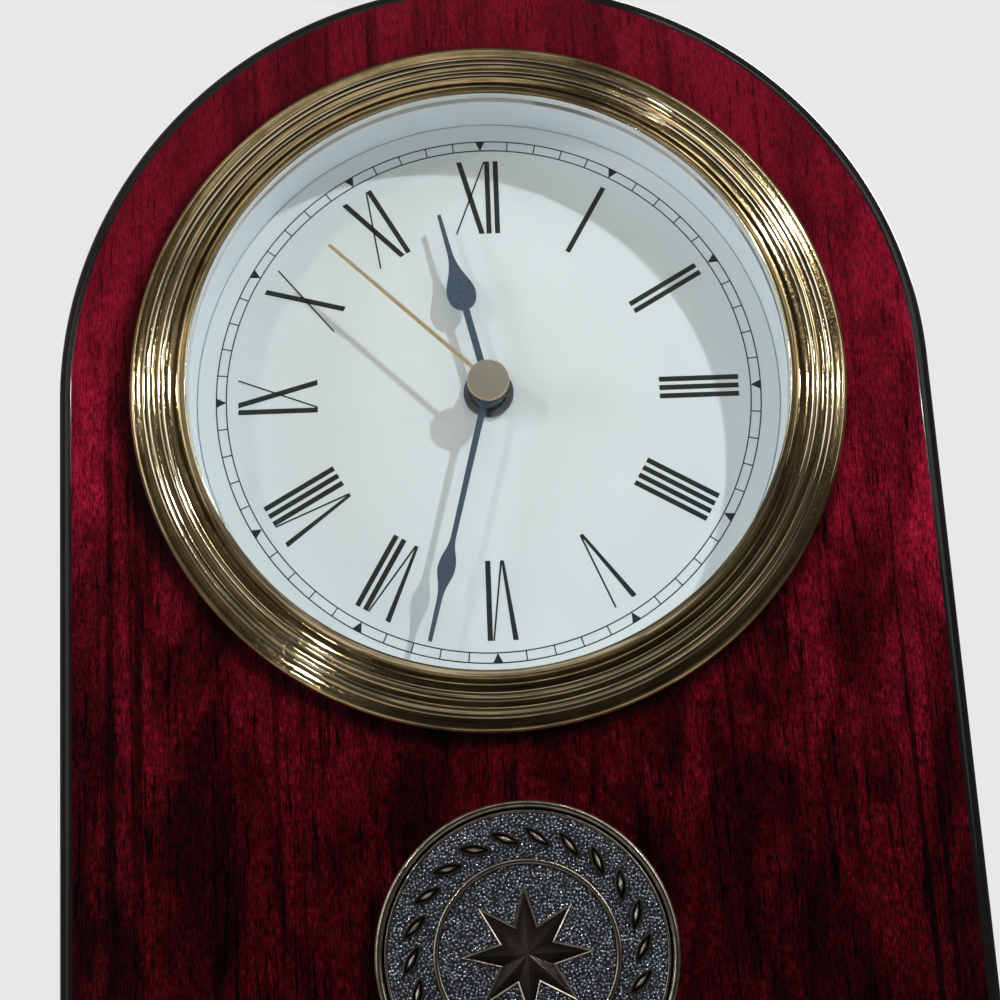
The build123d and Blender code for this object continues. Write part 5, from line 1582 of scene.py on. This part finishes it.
def hang_lamps(scene):
    gold = bpy.data.collections.new("gold pieces")
    gold.objects.link(bpy.data.objects["bezel_ridged"])
    middle = Vector(place(0.0, 0.0, 0.0))
    for lamp in LAMPS:
        light = bpy.data.lights.new(lamp.name, "AREA")
        light.shape = "ELLIPSE"
        light.size = lamp.width
        light.size_y = lamp.height
        light.energy = lamp.power
        light.color = lamp.tint
        hung = bpy.data.objects.new(lamp.name, light)
        scene.collection.objects.link(hung)
        hung.visible_diffuse = lamp.role in ("light", "both")
        hung.visible_glossy = lamp.role != "light"
        if lamp.role == "glint":
            hung.light_linking.receiver_collection = gold
        towards = Vector(lamp.direction).normalized()
        facing = towards.to_track_quat("Z", "Y").to_matrix().to_4x4()
        hung.matrix_world = Matrix.Translation(middle + towards * lamp.distance) @ facing


def set_camera(scene):
    yaw, pitch, roll = (math.radians(turn) for turn in (CAMERA_YAW, CAMERA_PITCH, CAMERA_ROLL))
    ahead = Vector((math.sin(yaw) * math.cos(pitch), math.cos(yaw) * math.cos(pitch), math.sin(pitch)))
    level = Vector((math.cos(yaw), -math.sin(yaw), 0.0))
    rise = level.cross(ahead)
    right = level * math.cos(roll) + rise * math.sin(roll)
    up = rise * math.cos(roll) - level * math.sin(roll)
    data = bpy.data.cameras.new("camera")
    data.lens = CAMERA_LENS
    data.sensor_width = 36.0
    data.clip_start = 0.01
    camera = bpy.data.objects.new("camera", data)
    scene.collection.objects.link(camera)
    turn = Matrix((right, up, -ahead)).transposed().to_4x4()
    camera.matrix_world = Matrix.Translation([along * MM for along in CAMERA_AT]) @ turn
    scene.camera = camera


class CLOCK_OT_stage(bpy.types.Operator):
    """Plain pale floor, soft studio light and the camera."""

    bl_idname = "clock.stage"
    bl_label = "Stage"

    def execute(self, context):
        scene = context.scene
        lay_floor()
        light_room(scene)
        hang_lamps(scene)
        set_camera(scene)
        scene.view_settings.view_transform = "Standard"
        return {"FINISHED"}


OPERATORS = (
    CLOCK_OT_board,
    CLOCK_OT_plinth,
    CLOCK_OT_bezel,
    CLOCK_OT_insert,
    CLOCK_OT_minute_track,
    CLOCK_OT_numerals,
    CLOCK_OT_hands,
    CLOCK_OT_medallion,
    CLOCK_OT_movement,
    CLOCK_OT_stage,
)


class CLOCK_PT_pieces(bpy.types.Panel):
    """Lists the clock's pieces, sizes and colours."""

    bl_idname = "CLOCK_PT_pieces"
    bl_label = "Desk clock"
    bl_space_type = "VIEW_3D"
    bl_region_type = "UI"
    bl_category = "Desk clock"

    def draw(self, context):
        for operator in OPERATORS:
            self.layout.operator(operator.bl_idname)
        for group in (context.scene.clock_sizes, context.scene.clock_colours):
            for name in group.__annotations__:
                self.layout.prop(group, name)


CLASSES = (ClockSizes, ClockColours) + OPERATORS + (CLOCK_PT_pieces,)


def register():
    for made in CLASSES:
        bpy.utils.register_class(made)
    bpy.types.Scene.clock_sizes = bpy.props.PointerProperty(type=ClockSizes)
    bpy.types.Scene.clock_colours = bpy.props.PointerProperty(type=ClockColours)


def unregister():
    del bpy.types.Scene.clock_colours
    del bpy.types.Scene.clock_sizes
    for made in reversed(CLASSES):
        bpy.utils.unregister_class(made)


def main():
    register()
    bpy.ops.clock.board()
    bpy.ops.clock.plinth()
    bpy.ops.clock.bezel()
    bpy.ops.clock.insert()
    bpy.ops.clock.minute_track()
    bpy.ops.clock.numerals()
    bpy.ops.clock.hands()
    bpy.ops.clock.medallion()
    bpy.ops.clock.movement()
    bpy.ops.clock.stage()


if __name__ == "__main__":
    main()
